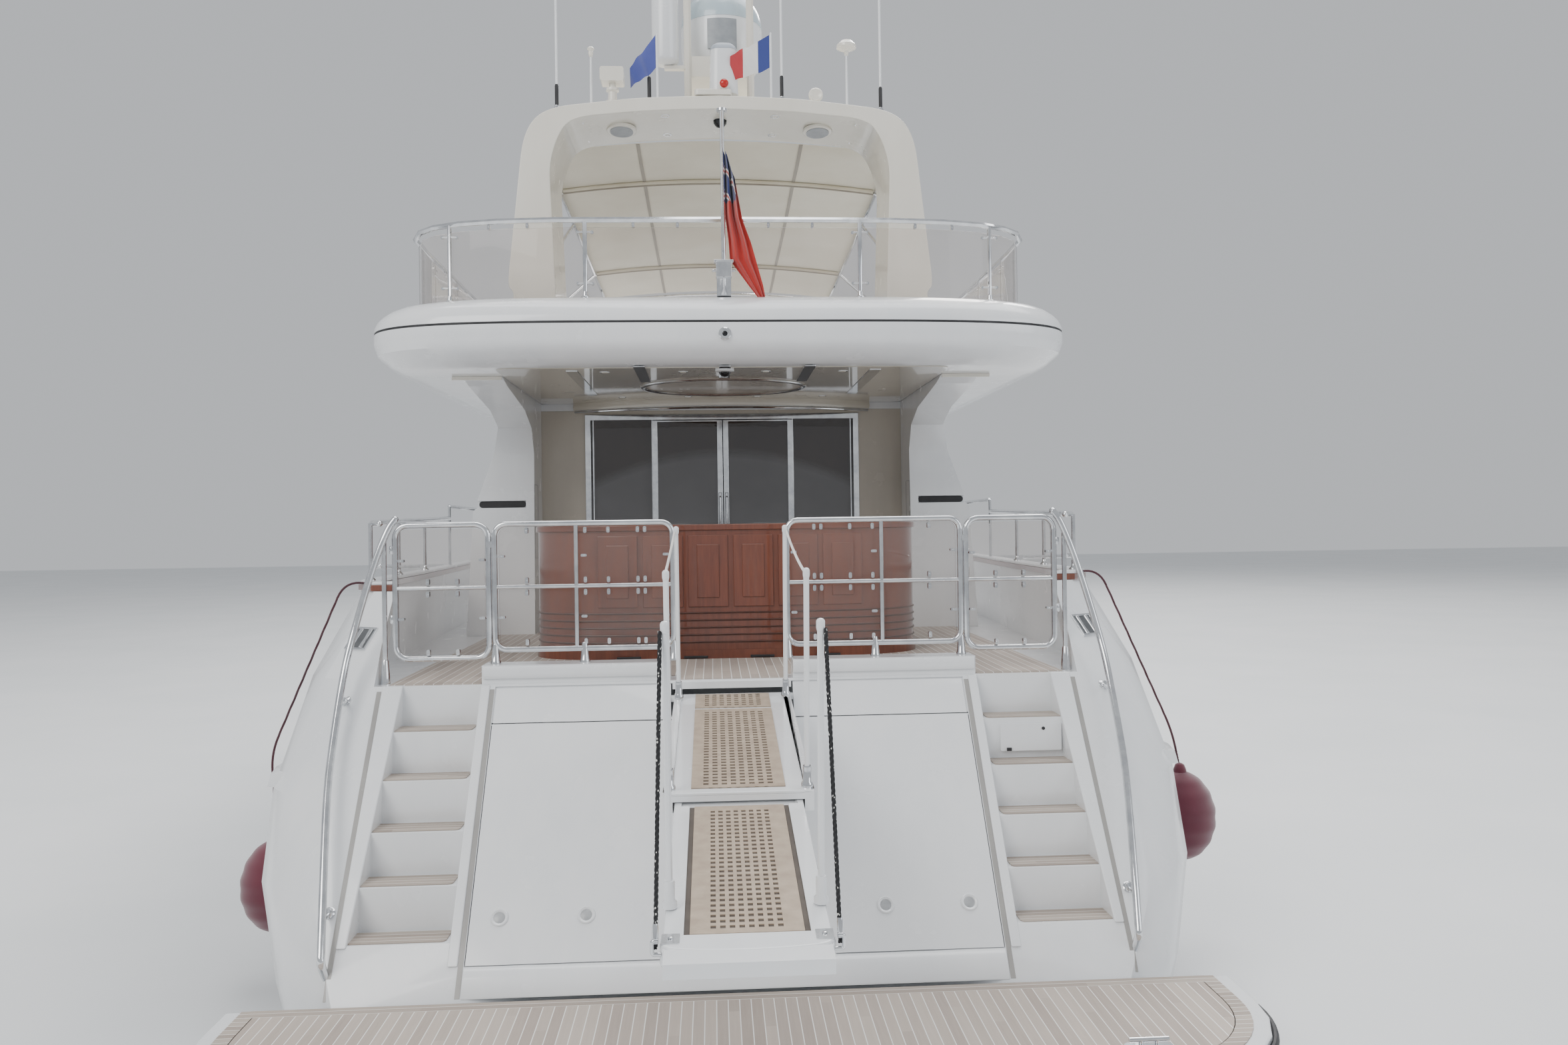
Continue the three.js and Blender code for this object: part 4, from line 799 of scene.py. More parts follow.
# Cockpit rails, gates and their clips
rails = {"y": -10.5, "topZ": 3.012, "midZ": 2.6, "lowZ": 2.19, "inX": 0.378, "outX": 1.54, "gateIn": 1.58,
         "gateOut": 2.18, "tubeR": 0.019, "midR": 0.014, "uprightX": 1.01}


def loopTube(x0, x1, z0, z1, y, r, bend):
    # A closed round tube along an upright rectangle with curved corners
    flat = roundRect(x0, x1, z0, z1, bend, 7)
    return sweep(np.c_[flat[:, 0], np.full(len(flat), y), flat[:, 1]], circleOf(r, 14), (0, 1, 0), True)


def clip(x, z, y, upright=True):
    # A small clamp that grips the panel's edge: a rounded tab with its screw's head
    w, h = (0.011, 0.02) if upright else (0.02, 0.009)
    tab = slab(roundRect(x - w, x + w, z - h, z + h, min(w, h) * 0.8, 3), y - 0.004, y + 0.03, (0, 2, 1))
    head = lathe([(0.0055, 0), (0.0055, 0.003), (0.003, 0.005)], (x, y - 0.004, z), (0, -1, 0), 8)
    return [tab, head]


def coneFoot(x, y, z):
    # A post's foot, widening to its flange
    return lathe([(0.016, 0.13), (0.0175, 0.125), (0.021, 0.1), (0.029, 0.02), (0.033, 0.012), (0.033, 0)],
                 (x, y, z), (0, 0, 1), 16)


def cockpitRails(v):
    # A round loop on posts along the coaming, with clear panes held by clips
    y = v["y"]
    for side, s in sides:
        x0, x1 = onSide(s, v["inX"], v["outX"])
        shapes = [loopTube(x0, x1, v["lowZ"], v["topZ"], y, v["tubeR"], 0.075),
                  tube([(x0, y, v["midZ"]), (x1, y, v["midZ"])], v["midR"]),
                  tube([(s * v["uprightX"], y, v["lowZ"]), (s * v["uprightX"], y, v["topZ"])], 0.014)]
        for x in (v["inX"], v["outX"], 0.96):
            shapes += [tube([(s * x, y, coamingZ), (s * x, y, v["lowZ"] + 0.03)], 0.017), coneFoot(s * x, y, coamingZ)]
        piece("cockpit_rail_form_" + side, shapes, chrome, node="cockpit_rail_" + side)
        clips = []
        for x in (1.333, 0.951, 0.8, 0.607, 0.56):
            for z in (v["topZ"] - 0.045, v["midZ"] + 0.04, v["midZ"] - 0.04, v["lowZ"] + 0.045):
                clips += clip(s * x, z, y)
        for x in (v["outX"] - 0.045, v["uprightX"] - 0.05, v["inX"] + 0.045):
            for z in (2.8, 2.4):
                clips += clip(s * x, z, y, False)
        piece("cockpit_rail_clips_" + side, clips, chrome)
        pane = slab(roundRect(*onSide(s, v["inX"] + 0.025, v["outX"] - 0.025), 2.2, 2.99, 0.05),
                    y + 0.0195, y + 0.0275, (0, 2, 1))
        piece("rail_panel_" + side, pane, clearPanel, node="rail_glass_" + side)


cockpitRails(rails)


def gateLeaf(v):
    # A round loop with a middle rail, two hinges and a latch
    y = v["y"]
    for side, s in sides:
        g0, g1 = onSide(s, v["gateIn"], v["gateOut"])
        shapes = [loopTube(g0, g1, 2.14, v["topZ"], y, v["tubeR"], 0.085),
                  tube([(g0, y, v["midZ"]), (g1, y, v["midZ"])], v["midR"])]
        hinge = [(0.012, -0.028), (0.016, -0.022), (0.016, 0.022), (0.012, 0.028)]
        for z in (2.4, 2.85):
            shapes.append(tube([(s * (v["gateOut"] + 0.01), y, z), (s * 2.212, y, z)], 0.012))
            shapes.append(lathe(hinge, (s * 2.2, y, z), n=14))
        shapes.append(block(onSide(s, v["gateIn"] - 0.03, v["gateIn"] + 0.01), (y - 0.02, y + 0.02), (2.86, 2.9)))
        piece("gate_form_" + side, shapes, chrome, "gate_" + side, node="gate_" + side)
        pane = slab(roundRect(g0 + 0.022, g1 - 0.022, 2.165, 2.985, 0.06), y - 0.004, y + 0.004, (0, 2, 1))
        piece("gate_panel_" + side, pane, clearPanel, "gate_" + side, node="gate_" + side)
        clips = []
        for x in (1.97, 1.78):
            for z in (v["midZ"] + 0.04, v["midZ"] - 0.04, 2.18):
                clips += clip(s * x, z, y - 0.014)
        for x in (v["gateIn"] + 0.04, v["gateOut"] - 0.04):
            for z in (2.78, 2.4):
                clips += clip(s * x, z, y - 0.014, False)
        piece("gate_clips_" + side, clips, chrome, "gate_" + side)


gateLeaf(rails)
for node in ("bow_rail", "fly_rail", "bimini_frame", "flagpole"):
    dressed(node, chrome, 0.0, 50)
dressed("fly_rail_glass", clearPanel, 0.0, 30)
print("rails set")

# Gangway: white frames, slotted treads, round posts with ropes
gangway = {"hinge": (0, -10.64, 1.872), "slope": 7.2, "half": 0.33, "tread1": 0.235, "tread2": 0.217,
           "end1": -1.8, "start2": -1.94, "end2": -3.27, "postTopZ": 1.12}


def downSlope(shape):
    # Local gangway points turned by the slope about its hinge
    p = np.asarray(shape[0], float)
    a = math.radians(gangway["slope"])
    c, s = math.cos(a), math.sin(a)
    out = np.stack([p[:, 0], p[:, 1] * c - p[:, 2] * s, p[:, 1] * s + p[:, 2] * c], 1)
    return out + np.array(gangway["hinge"]), shape[1]


def allDownSlope(shapes):
    # Each of several shapes turned down the slope
    return [downSlope(p) for p in shapes]


def grating(half, y0, y1, z, margin=0.06, columns=8, pitch=0.046, thick=0.006):
    # A perforated tread: solid margins, bars between the columns of holes, short bars between the holes of each
    x0, x1 = -half, half
    holeX0, holeX1 = x0 + margin, x1 - margin
    wide = (holeX1 - holeX0) / (columns * 1.75 - 0.75)
    parts = [block((x0, holeX0), (y0, y1), (z, z + thick)), block((holeX1, x1), (y0, y1), (z, z + thick))]
    parts += [block((holeX0 + wide * (1.75 * k + 1), holeX0 + wide * 1.75 * (k + 1)), (y0, y1),
                    (z, z + thick - 0.0003)) for k in range(columns - 1)]
    rows = max(int((y1 - y0 - 0.08) / pitch), 1)
    step = (y1 - y0 - 0.08) / rows
    bars = [(y0, y0 + 0.04), (y1 - 0.04, y1)]
    bars += [(y0 + 0.04 + step * (k + 0.52), y0 + 0.04 + step * (k + 1)) for k in range(rows)]
    return parts + [block((holeX0, holeX1), bar, (z, z + thick - 0.0006)) for bar in bars]


def gangwayDress(v):
    # Gratings over dark beds of painted shadow that show through their holes, posts' caps and feet, beams, and the
    # fittings at the tip
    grate = plainFinish("gratingBeige", (0.47, 0.38, 0.29), (0.36, 0.28, 0.21), 0.5, 0.75)
    # Painted shadow: the dark finish of the beds seen through the gratings' holes
    dark = plainFinish("gratingShadow", (0.1, 0.08, 0.065), (0.07, 0.055, 0.045), 0.6, 0.8)
    dressed("passerelle_stage_1", white, 0.004, 35)
    dressed("passerelle_stage_2", white, 0.004, 35)
    h, one, two = v["half"], v["tread1"], v["tread2"]
    fields = ((-0.36, -0.05), (v["end1"], -0.4))
    treads1 = [p for a, b in fields for p in grating(one, a, b, 0.0255)]
    piece("gangway_treads_1", allDownSlope(treads1), grate, "gangway_inner", "teak")
    # Painted shadow under the first stage's gratings
    base = [block((-one, one), field, (0.0252, 0.0262)) for field in fields]
    piece("gangway_shadow_beds_1", allDownSlope(base), dark, "gangway_inner", "teak")
    lip = block((-h - 0.03, h + 0.03), (-1.9, -1.85), (0.024, 0.04))
    piece("gangway_lip", downSlope(lip), white, "gangway_inner", bevel=0.006)
    treads2 = grating(two, v["end2"] + 0.005, v["start2"], -0.0195, 0.078)
    piece("gangway_treads_2", allDownSlope(treads2), grate, "gangway_outer", "teak")
    # Painted shadow under the second stage's grating
    shadowBed = block((-0.24, 0.24), (v["end2"], v["start2"]), (-0.0198, -0.0188))
    piece("gangway_shadow_beds_2", downSlope(shadowBed), dark, "gangway_outer", "teak")
    capLine = [(0.0155, -0.03), (0.0175, -0.02), (0.0175, 0.006), (0.012, 0.014), (0.004, 0.017)]
    footLine = [(0.019, 0.11), (0.0215, 0.1), (0.0215, 0.03), (0.03, 0.02), (0.03, 0.0)]
    for stage, spots in (("inner", ((0.34, -0.15, 0.02), (0.34, -1.84, 0.02))), ("outer", ((0.298, -3.05, -0.02),))):
        places = [(s * x, y, z) for x, y, z in spots for s in (-1, 1)]
        caps = [lathe(capLine, (x, y, v["postTopZ"]), n=14) for x, y, z in places]
        feet = [lathe(footLine, (x, y, z + 0.016), n=14) for x, y, z in places]
        piece("gangway_post_caps_" + stage, allDownSlope(caps), white, "gangway_" + stage)
        metal, slotName = (chrome, "steel") if stage == "inner" else (white, "gelcoat")
        piece("gangway_post_feet_" + stage, allDownSlope(feet), metal, "gangway_" + stage, slotName)
    beams = [slab(roundRect(*onSide(s, 0.239, 0.314), -3.3, v["start2"], 0.012), -0.0198, -0.009) for s in (-1, 1)]
    bow = np.linspace(-1, 1, 24)
    edge = np.stack([0.325 * bow, -3.395 - 0.03 * (1 - bow**2) + 0.03 * np.abs(bow) ** 12], 1)
    cap = slab(np.concatenate([edge, [(0.325, -3.285), (-0.325, -3.285)]]), -0.092, -0.001)
    piece("gangway_beams", allDownSlope(beams), white, "gangway_outer", bevel=0.003)
    piece("gangway_end_cap", downSlope(cap), white, "gangway_outer", bevel=0.012)
    boltLine = [(0.01, 0), (0.01, 0.003), (0.007, 0.006), (0.002, 0.007)]
    sleeveLine = [(0.005, 0), (0.0125, 0.004), (0.0125, 0.06), (0.01, 0.075)]
    bow = [(0.318, -0.035), (0.352, -0.035), (0.352, 0.018), (0.33, 0.018)]
    bolts, plates, collars, shackles = [], [], [], []
    for s in (-1, 1):
        plateX, collarX = s * 0.286, s * 0.345
        plates.append(slab(roundRect(plateX - 0.034, plateX + 0.034, -3.365, -3.288, 0.004), -0.0012, 0.0022))
        collars.append(slab(roundRect(collarX - 0.028, collarX + 0.028, -1.88, -1.8, 0.01), 0.0352, 0.0388))
        bolts.append(lathe(boltLine, (plateX, -3.325, 0.0022), n=12))
        shackles.append(tube([(s * x, -3.372, z) for x, z in bow], 0.0075, 0.01, 10))
        shackles.append(lathe(sleeveLine, (s * 0.341, -3.366, 0.0), (-s * 0.024, 0.3, 1.12), 12))
    for name, shapes in (("plates", plates), ("bolts", bolts), ("shackles", shackles)):
        piece("gangway_" + name, allDownSlope(shapes), chrome, "gangway_outer")
    piece("gangway_collars", allDownSlope(collars), chrome, "gangway_inner")
    mouth = slab(roundRect(-0.385, 0.385, -10.648, -10.6325, 0.002), 1.926, 1.972)
    piece("gangway_pocket_cover", mouth, white, bevel=0.004)


gangwayDress(gangway)


def twisted(path, r, turns, strands=3, corners=6):
    # Strands wound round a curve: each keeps r from it and turns about it a set number of times
    path = np.asarray(path, float)
    t = unit(np.gradient(path, axis=0))
    ref = np.array([0.95, 0.3, 0.1])
    a = unit(np.cross(t, ref))
    b = np.cross(t, a)
    run = np.linspace(0, 2 * math.pi * turns, len(path))
    shapes = []
    for k in range(strands):
        w = run + 2 * math.pi * k / strands
        shapes.append(sweep(path + r * (np.cos(w)[:, None] * a + np.sin(w)[:, None] * b), circleOf(r * 1.12, corners)))
    return shapes


def gangwayRopes():
    # Ropes of three strands: hand ropes that sag by 4 u (1 - u), and ropes down to the tip
    whiteRope = clothFinish("whiteRope", (0.82, 0.81, 0.78), (0.68, 0.66, 0.62), 1500)
    black = newMaterial("fleckedRope", Roughness=0.8)
    stretched = objectPoint(black, (1, 1, 0.6))
    cells = addNode(black, "ShaderNodeTexVoronoi", None, {"Vector": stretched, "Scale": 75.0}).outputs["Distance"]
    fleck = maths(black, "LESS_THAN", cells, 0.2)
    finish(black, mixColor(black, fleck, (0.02, 0.02, 0.022), (0.75, 0.74, 0.7)), None, cells, 0.001)
    u = np.linspace(0, 1, 340)
    strands = []
    for s in (-1, 1):
        x, z = s * (0.35 + 0.008 * np.sin(math.pi * u)), 1.1 - 0.05 * 4 * u * (1 - u)
        taut = np.stack([x, -0.16 - 1.68 * u, z], 1)
        strands += twisted(taut, 0.0036, 34)
    piece("gangway_hand_ropes", allDownSlope(strands), whiteRope, "gangway_inner", "canvas")
    for side, s in sides:
        v = np.linspace(0, 1, 220)
        down = np.stack([s * (0.316 + 0.024 * v), -3.06 - 0.3 * v, 1.1 - 1.12 * v], 1)
        rope = allDownSlope(twisted(down, 0.0044, 18))
        piece("gangway_tip_rope_" + side, rope, black, "gangway_outer", "canvas")


gangwayRopes()
print("gangway dressed")

# Cockpit bar: bowed front with doors, rounded ends with grooves, plinth
barSizes = {"half": 1.49, "backY": -8.65, "deep": 0.78, "topZ": 2.985}


def barFront(a, out=0.0):
    # A point on the bar's rounded plan: x = half sgn(c)|c|^0.6, y = back - depth sin^0.5, pushed out a little
    c, s = np.cos(a), np.maximum(np.sin(a), 0)
    x = (barSizes["half"] + out) * np.sign(c) * np.abs(c) ** 0.6
    return x, barSizes["backY"] - (barSizes["deep"] + out) * s**0.5


def cockpitBar(v):
    # A solid on the rounded plan, with dark hoops that paint the grooves' shade, raised panels, a plinth and vents
    # that follow it
    a = np.linspace(math.pi, 0, 80)
    inner = [(1.25, -8.65), (1.09, -9.08), (-1.09, -9.08), (-1.25, -8.65)]
    plan = np.concatenate([np.stack(barFront(a), 1), inner])
    piece("bar_form", slab(plan, deckZ + lift, v["topZ"]), mahogany, bevel=0.012, node="cockpit_bar")
    topInner = [(1.235, -8.64), (1.08, -9.065), (-1.08, -9.065), (-1.235, -8.64)]
    top = np.concatenate([np.stack(barFront(a, 0.018), 1), topInner])
    piece("bar_top", slab(top, v["topZ"] - 0.035, v["topZ"] + 0.012), mahogany, bevel=0.01)
    around = np.stack(barFront(a, 0.002), 1)
    # Painted shade: thin dark-brown tubes along the front stand for the grooves in shadow
    hoops = [sweep(atHeight(around, z), circleOf(0.007, 6), (0, 0, 1)) for z in (2.11, 2.165, 2.22, 2.275, 2.33)]
    groove = plainFinish("grooveShade", (0.09, 0.03, 0.015), (0.05, 0.015, 0.01), 0.3, 0.5)
    piece("bar_groove_shade", hoops, groove, "yacht", "mahogany")
    panels = []
    for x0, x1 in ((-0.98, -0.68), (-0.64, -0.34), (-0.3, 0.0), (0.04, 0.34), (0.38, 0.68), (0.72, 1.02)):
        xs = np.linspace(x0, x1, 10)
        face = np.stack(barFront(np.arccos(np.sign(xs) * np.abs(xs / v["half"]) ** (1 / 0.6))), 1)
        panels.append(slab(np.concatenate([face - (0, 0.014), (face + (0, 0.01))[::-1]]), 2.375, 2.915))
        middle = face[2:8]
        panels.append(slab(np.concatenate([middle - (0, 0.024), (middle - (0, 0.01))[::-1]]), 2.445, 2.845))
    piece("bar_panels", panels, mahogany, bevel=0.006)
    q = np.linspace(math.pi - 0.02, 0.02, 70)
    foot = atHeight(np.stack(barFront(q, 0.006), 1), deckZ + 0.04)
    board = [(-0.004, -0.033), (0.012, -0.033), (0.012, 0.033), (-0.004, 0.033)]
    piece("bar_plinth", sweep(foot, board, (0, 0, 1)), mahogany)
    slots = [block((x - 0.09, x + 0.09), (-9.46, -9.43), (deckZ + 0.012, deckZ + 0.03))
             for x in (-0.75, -0.25, 0.25, 0.75)]
    piece("bar_vents", slots, rubber, "yacht", "mahogany", bevel=0.004)


cockpitBar(barSizes)
for node in ("cockpit_table", "fly_table", "bulwark_cap"):
    dressed(node, mahogany, 0.008)
print("bar built")


# Soft goods
def cushion(x0, x1, y0, y1, z0, z1, r=0.05, crown=0.02, n=26):
    # A padded box: a grid over the top that swells by crown and rolls down at its edges to the seam, and a flat base
    u = np.linspace(-1, 1, n)
    uu, vv = np.meshgrid(u, u, indexing="ij")
    ax, ay = (x1 - x0) / 2, (y1 - y0) / 2
    px = (x0 + x1) / 2 + ax * np.sign(uu) * (1 - (1 - np.abs(uu)) ** 1.6)
    py = (y0 + y1) / 2 + ay * np.sign(vv) * (1 - (1 - np.abs(vv)) ** 1.6)
    edge = np.minimum(ax - np.abs(px - (x0 + x1) / 2), ay - np.abs(py - (y0 + y1) / 2))
    roll = np.sqrt(np.clip(1 - (1 - np.clip(edge / r, 0, 1)) ** 2, 0, 1))
    swell = crown * (1 - uu**2) * (1 - vv**2)
    wrinkle = 0.0035 * np.sin(px * 23 + 3 * np.sin(py * 9)) * np.exp(-((edge - r) / r) ** 2)
    top = z1 - r - crown + r * roll + swell + wrinkle
    return twoSided(np.stack([px, py, top], -1), np.stack([px, py, np.full_like(top, z0)], -1))


def piping(x0, x1, y0, y1, z, r=0.05):
    # The welt sewn round a cushion's edge
    flat = roundRect(x0 + 0.004, x1 - 0.004, y0 + 0.004, y1 - 0.004, r, 5)
    return sweep(atHeight(flat, z), circleOf(0.006, 6), (0, 0, 1), True)


def seatPart(name, boxes, node):
    # Padded cushions for a seat, each with a welt at its top seam and one at its foot
    shapes, welts = [], []
    for x0, x1, y0, y1, z0, z1 in boxes:
        shapes.append(cushion(x0, x1, y0, y1, z0, z1))
        welts.append(piping(x0, x1, y0, y1, z1 - 0.07))
        welts.append(piping(x0, x1, y0, y1, z0 + 0.012))
    piece(name, shapes, vinyl, sharp=60, node=node)
    welt = plainFinish(name + "Welt", (0.62, 0.58, 0.5), (0.5, 0.46, 0.39), 0.5, 0.7)
    piece(name + "_welts", welts, welt, "yacht", "vinyl")


seats = {"cockpit": (2.282, 2.42), "fly": (4.702, 4.83), "helm": (4.86, 5.0), "sunpad": (foredeckZ, 2.92),
         "backThick": 0.115}


def softSeats(v):
    # Plinths and the cushions on them, for cockpit, flybridge, helm and sunpad
    floor = fly["floorZ"] + lift
    plinths = [block((-0.96, 0.96), (-9.08, -8.4), (deckZ + lift, 2.28))]
    plinths += [block(x, y, (floor, 4.7)) for x, y in
                (((-2.05, -1.35), (-7.3, -4.3)), ((-1.35, -0.3), (-7.3, -6.65)), ((-1.35, -0.3), (-4.95, -4.3)))]
    piece("seat_plinths", plinths, white, bevel=0.012)
    row = [(x0, x1, -9.07, -8.41, *v["cockpit"]) for x0, x1 in ((-0.955, -0.322), (-0.316, 0.316), (0.322, 0.955))]
    seatPart("cockpit_cushions", row, "cockpit_sofa")
    along, ends = ((-6.645, -6.085), (-6.075, -5.515), (-5.505, -4.955)), ((-7.29, -6.655), (-4.945, -4.31))
    runs = [(-2.045, -1.36, y0, y1, *v["fly"]) for y0, y1 in along]
    runs += [(x0, x1, y0, y1, *v["fly"]) for x0, x1 in ((-2.045, -1.18), (-1.17, -0.31)) for y0, y1 in ends]
    seatPart("fly_cushions", runs, "fly_sofa")
    pair = ((0.455, 1.07), (1.08, 1.695))
    seatPart("helm_cushions", [(x0, x1, -1.49, -0.955, *v["helm"]) for x0, x1 in pair], "helm_seat")
    backs = []
    for x0, x1 in pair:
        p, f = cushion(x0, x1, -0.6, 0.0, 0, v["backThick"])
        backs.append((np.stack([p[:, 0], -1.505 - p[:, 2], v["helm"][0] + (p[:, 1] + 0.6)], 1), f))
    piece("helm_backs", backs, vinyl, sharp=60)
    column = [(0.1, 0), (0.1, 0.02), (0.06, 0.05), (0.06, 0.42), (0.12, 0.47), (0.12, 0.478)]
    piece("helm_pedestals", [lathe(column, (x, -1.22, floor)) for x in (0.76, 1.39)], chrome)
    low, top = v["sunpad"]
    pads = [(x0, x1, y0, y1, low + lift, top) for x0, x1 in ((-0.895, -0.305), (-0.295, 0.295), (0.305, 0.895))
            for y0, y1 in ((5.605, 6.595), (6.605, 7.595))]
    seatPart("sunpad_cushions", pads, "sunpad")


softSeats(seats)

cloth = {"awningZ": 6.5, "aftY": -7.552, "foreY": -1.6, "half": 1.6, "crown": 0.11, "fall": 0.17}


def awningTop(v):
    # Stretched sheet: z falls forward, crowned across, with a slight hollow between the hoops
    hoops = np.array([-7.55, -6.48, -3.11, -1.54])

    def shape(u, w):
        y = v["aftY"] + (v["foreY"] - v["aftY"]) * u
        k = 2 * w - 1
        gap = np.abs(y[..., None] - hoops).min(-1)
        hollow = 0.035 * (1 - np.exp(-gap * 1.6)) * (1 - k**2)
        z = v["awningZ"] - v["fall"] * u - v["crown"] * k**2 - hollow
        tuck = 0.012 * (1 - np.exp(-gap * 3)) * np.sign(k) * (np.abs(k) > 0.98)
        return k * v["half"] - tuck, y, z
    sheet = piece("awning_sheet", surface(shape, 90, 60, -0.003), canvas, sharp=60, node="bimini_canvas")
    tape = [(-0.016, -0.002), (0.016, -0.002), (0.016, 0.002), (-0.016, 0.002)]
    u = np.linspace(0, 1, 60)
    seams = []
    for k in (-0.466, 0.466):
        x, y, z = shape(u, np.full(60, (k + 1) / 2))
        seams.append(sweep(np.stack([x, y, z - 0.006], 1), tape, (0, 0, 1)))
    sleeves = []
    for yHoop in (-6.48, -3.11):
        k = np.linspace(-0.97, 0.97, 50)
        x, y, z = shape(np.full(50, (yHoop - v["aftY"]) / (v["foreY"] - v["aftY"])), (k + 1) / 2)
        sleeves.append(sweep(np.stack([x, y, z - 0.028], 1), circleOf(0.026, 10)))
        # Painted shade: a thin dark bead under each sleeve, partly the hoop's dark line, partly the shadow under the
        # sleeve
        seams.append(sweep(np.stack([x, y - 0.012, z - 0.05], 1), circleOf(0.009, 8)))
    piece("awning_sleeves", sleeves, canvas)
    piece("awning_seams_and_shade_beads", seams, clothFinish("seamClothAndPaintedShade", (0.42, 0.38, 0.31), (0.34, 0.3, 0.25)), "yacht", "canvas")


awningTop(cloth)


def hangingFlag(name, x, y, rows, depth, colors):
    # A flag hung from its hoist: rows give its near and far edges by height, and soft folds run down between them
    heights, near, far = np.array(rows, float).T

    def shape(u, w):
        z = heights[0] + (heights[-1] - heights[0]) * u
        left = np.interp(-z, -heights, near)
        right = np.interp(-z, -heights, far)
        amount = depth * np.clip(1.15 - u, 0.25, 1)
        wave = amount * (np.sin(w * 15.5 + 1.1 * u) + 0.35 * np.sin(w * 27 - 2.3 * u + 0.7))
        drape = 0.1 * w * (1 - u) * (w - 0.4)
        return x + left + (right - left) * w, y + wave - 0.012, z - drape
    return piece(name, surface(shape, 80, 70, 0.002), colors, "yacht", "ensign_red", 70)


def ensignFinish():
    # Red cloth; near the hoist's top a dark blue canton crossed with white and red, set by height and distance
    mat = newMaterial("ensignCloth", Roughness=0.85, Sheen_Weight=0.3)
    p = objectPoint(mat)
    at = coordinates(mat, p)
    x, z = at[0], at[2]
    canton = maths(mat, "MULTIPLY", maths(mat, "GREATER_THAN", z, 5.46), maths(mat, "LESS_THAN", x, 0.1))
    red = mottled(mat, p, 3, 4, (0.44, 0.03, 0.025), (0.6, 0.055, 0.04))
    band = maths(mat, "PINGPONG", maths(mat, "MULTIPLY_ADD", x, 2.2, z), 0.09)
    cross = mixColor(mat, maths(mat, "LESS_THAN", band, 0.022), (0.02, 0.03, 0.13), (0.78, 0.77, 0.75))
    cross = mixColor(mat, maths(mat, "LESS_THAN", band, 0.009), cross, (0.5, 0.04, 0.03))
    color = mixColor(mat, canton, red, cross)
    weave = addNode(mat, "ShaderNodeTexWave", {"bands_direction": "Z"}, {"Vector": p, "Scale": 160.0}).outputs["Fac"]
    return finish(mat, color, None, weave, 0.0004, 0.3)


ensignRows = [(5.83, 0.018, 0.04), (5.705, 0.018, 0.09), (5.36, 0.018, 0.146), (5.17, 0.04, 0.21), (5.015, 0.05, 0.25),
              (4.82, 0.19, 0.3), (4.69, 0.29, 0.32)]
ensignCloth = hangingFlag("ensign_cloth", 0, -9.295, ensignRows, 0.05, ensignFinish())
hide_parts("ensign")

fenderValues = {"r": 0.235, "tall": 1.3, "y": -10.3, "port": (3.02, 0.64), "stbd": (3.105, 0.93)}


def coveredFender(v):
    # A ball of radius r stretched by tall, flattened where it meets the hull, hung from its line
    for side, s in sides:
        out, z = v[side]
        q = np.linspace(0.02, math.pi - 0.02, 40)
        r = v["r"] * np.sin(q) * (1 - 0.03 * np.cos(8 * q) ** 2)
        h = -v["r"] * v["tall"] * np.cos(q)
        profile = np.stack([np.maximum(r, 0.012), h], 1)
        ball = lathe(profile, (s * out, v["y"], z), (0, 0, 1), 40)
        inside = ball[0][:, 0] * s < hullHalfAt(ball[0][:, 2]) + 0.002
        ball[0][inside, 0] = s * (hullHalfAt(ball[0][inside, 2]) + 0.002)
        neck = lathe([(0.05, 0.0), (0.042, 0.04), (0.03, 0.07), (0.012, 0.08)],
                     (s * out, v["y"], z + v["r"] * v["tall"] - 0.025))
        cover = piece("fender_cover_" + side, [ball, neck], maroon, sharp=60, node="fender_" + side)
        route = [(s * out, v["y"], z + 0.32), (s * 3.078, v["y"] + 0.06, 1.5), (s * 2.69, -9.9, 2.625),
                 (s * 2.47, -9.88, 2.61)]
        line = roundPath(route, 0.12, 8)
        at, places = np.linspace(0, 1, 400), np.linspace(0, 1, len(line))
        fine = np.stack([np.interp(at, places, line[:, k]) for k in range(3)], 1)
        piece("fender_line_" + side, twisted(fine, 0.004, 40), maroonLine, "yacht", "fender_maroon")


def hullHalfAt(z):
    # The hull's half-breadth abreast of the fenders, by height
    return np.interp(z, [0.2, 0.4, 0.88, 1.37, 1.9, 2.56], [2.72, 2.78, 2.9, 2.99, 2.9, 2.69])


maroonLine = clothFinish("fenderLine", (0.08, 0.02, 0.03), (0.05, 0.012, 0.02), 1500)
coveredFender(fenderValues)
print("soft goods made")

# Transom: lip under the coaming, side mouldings and channels, lamps, foot, stair hatch, fairleads
transomBits = {"lampZ": 0.77, "lipZ": 2.055, "doorFootZ": 0.56, "channel": (0.0025, 0.014)}


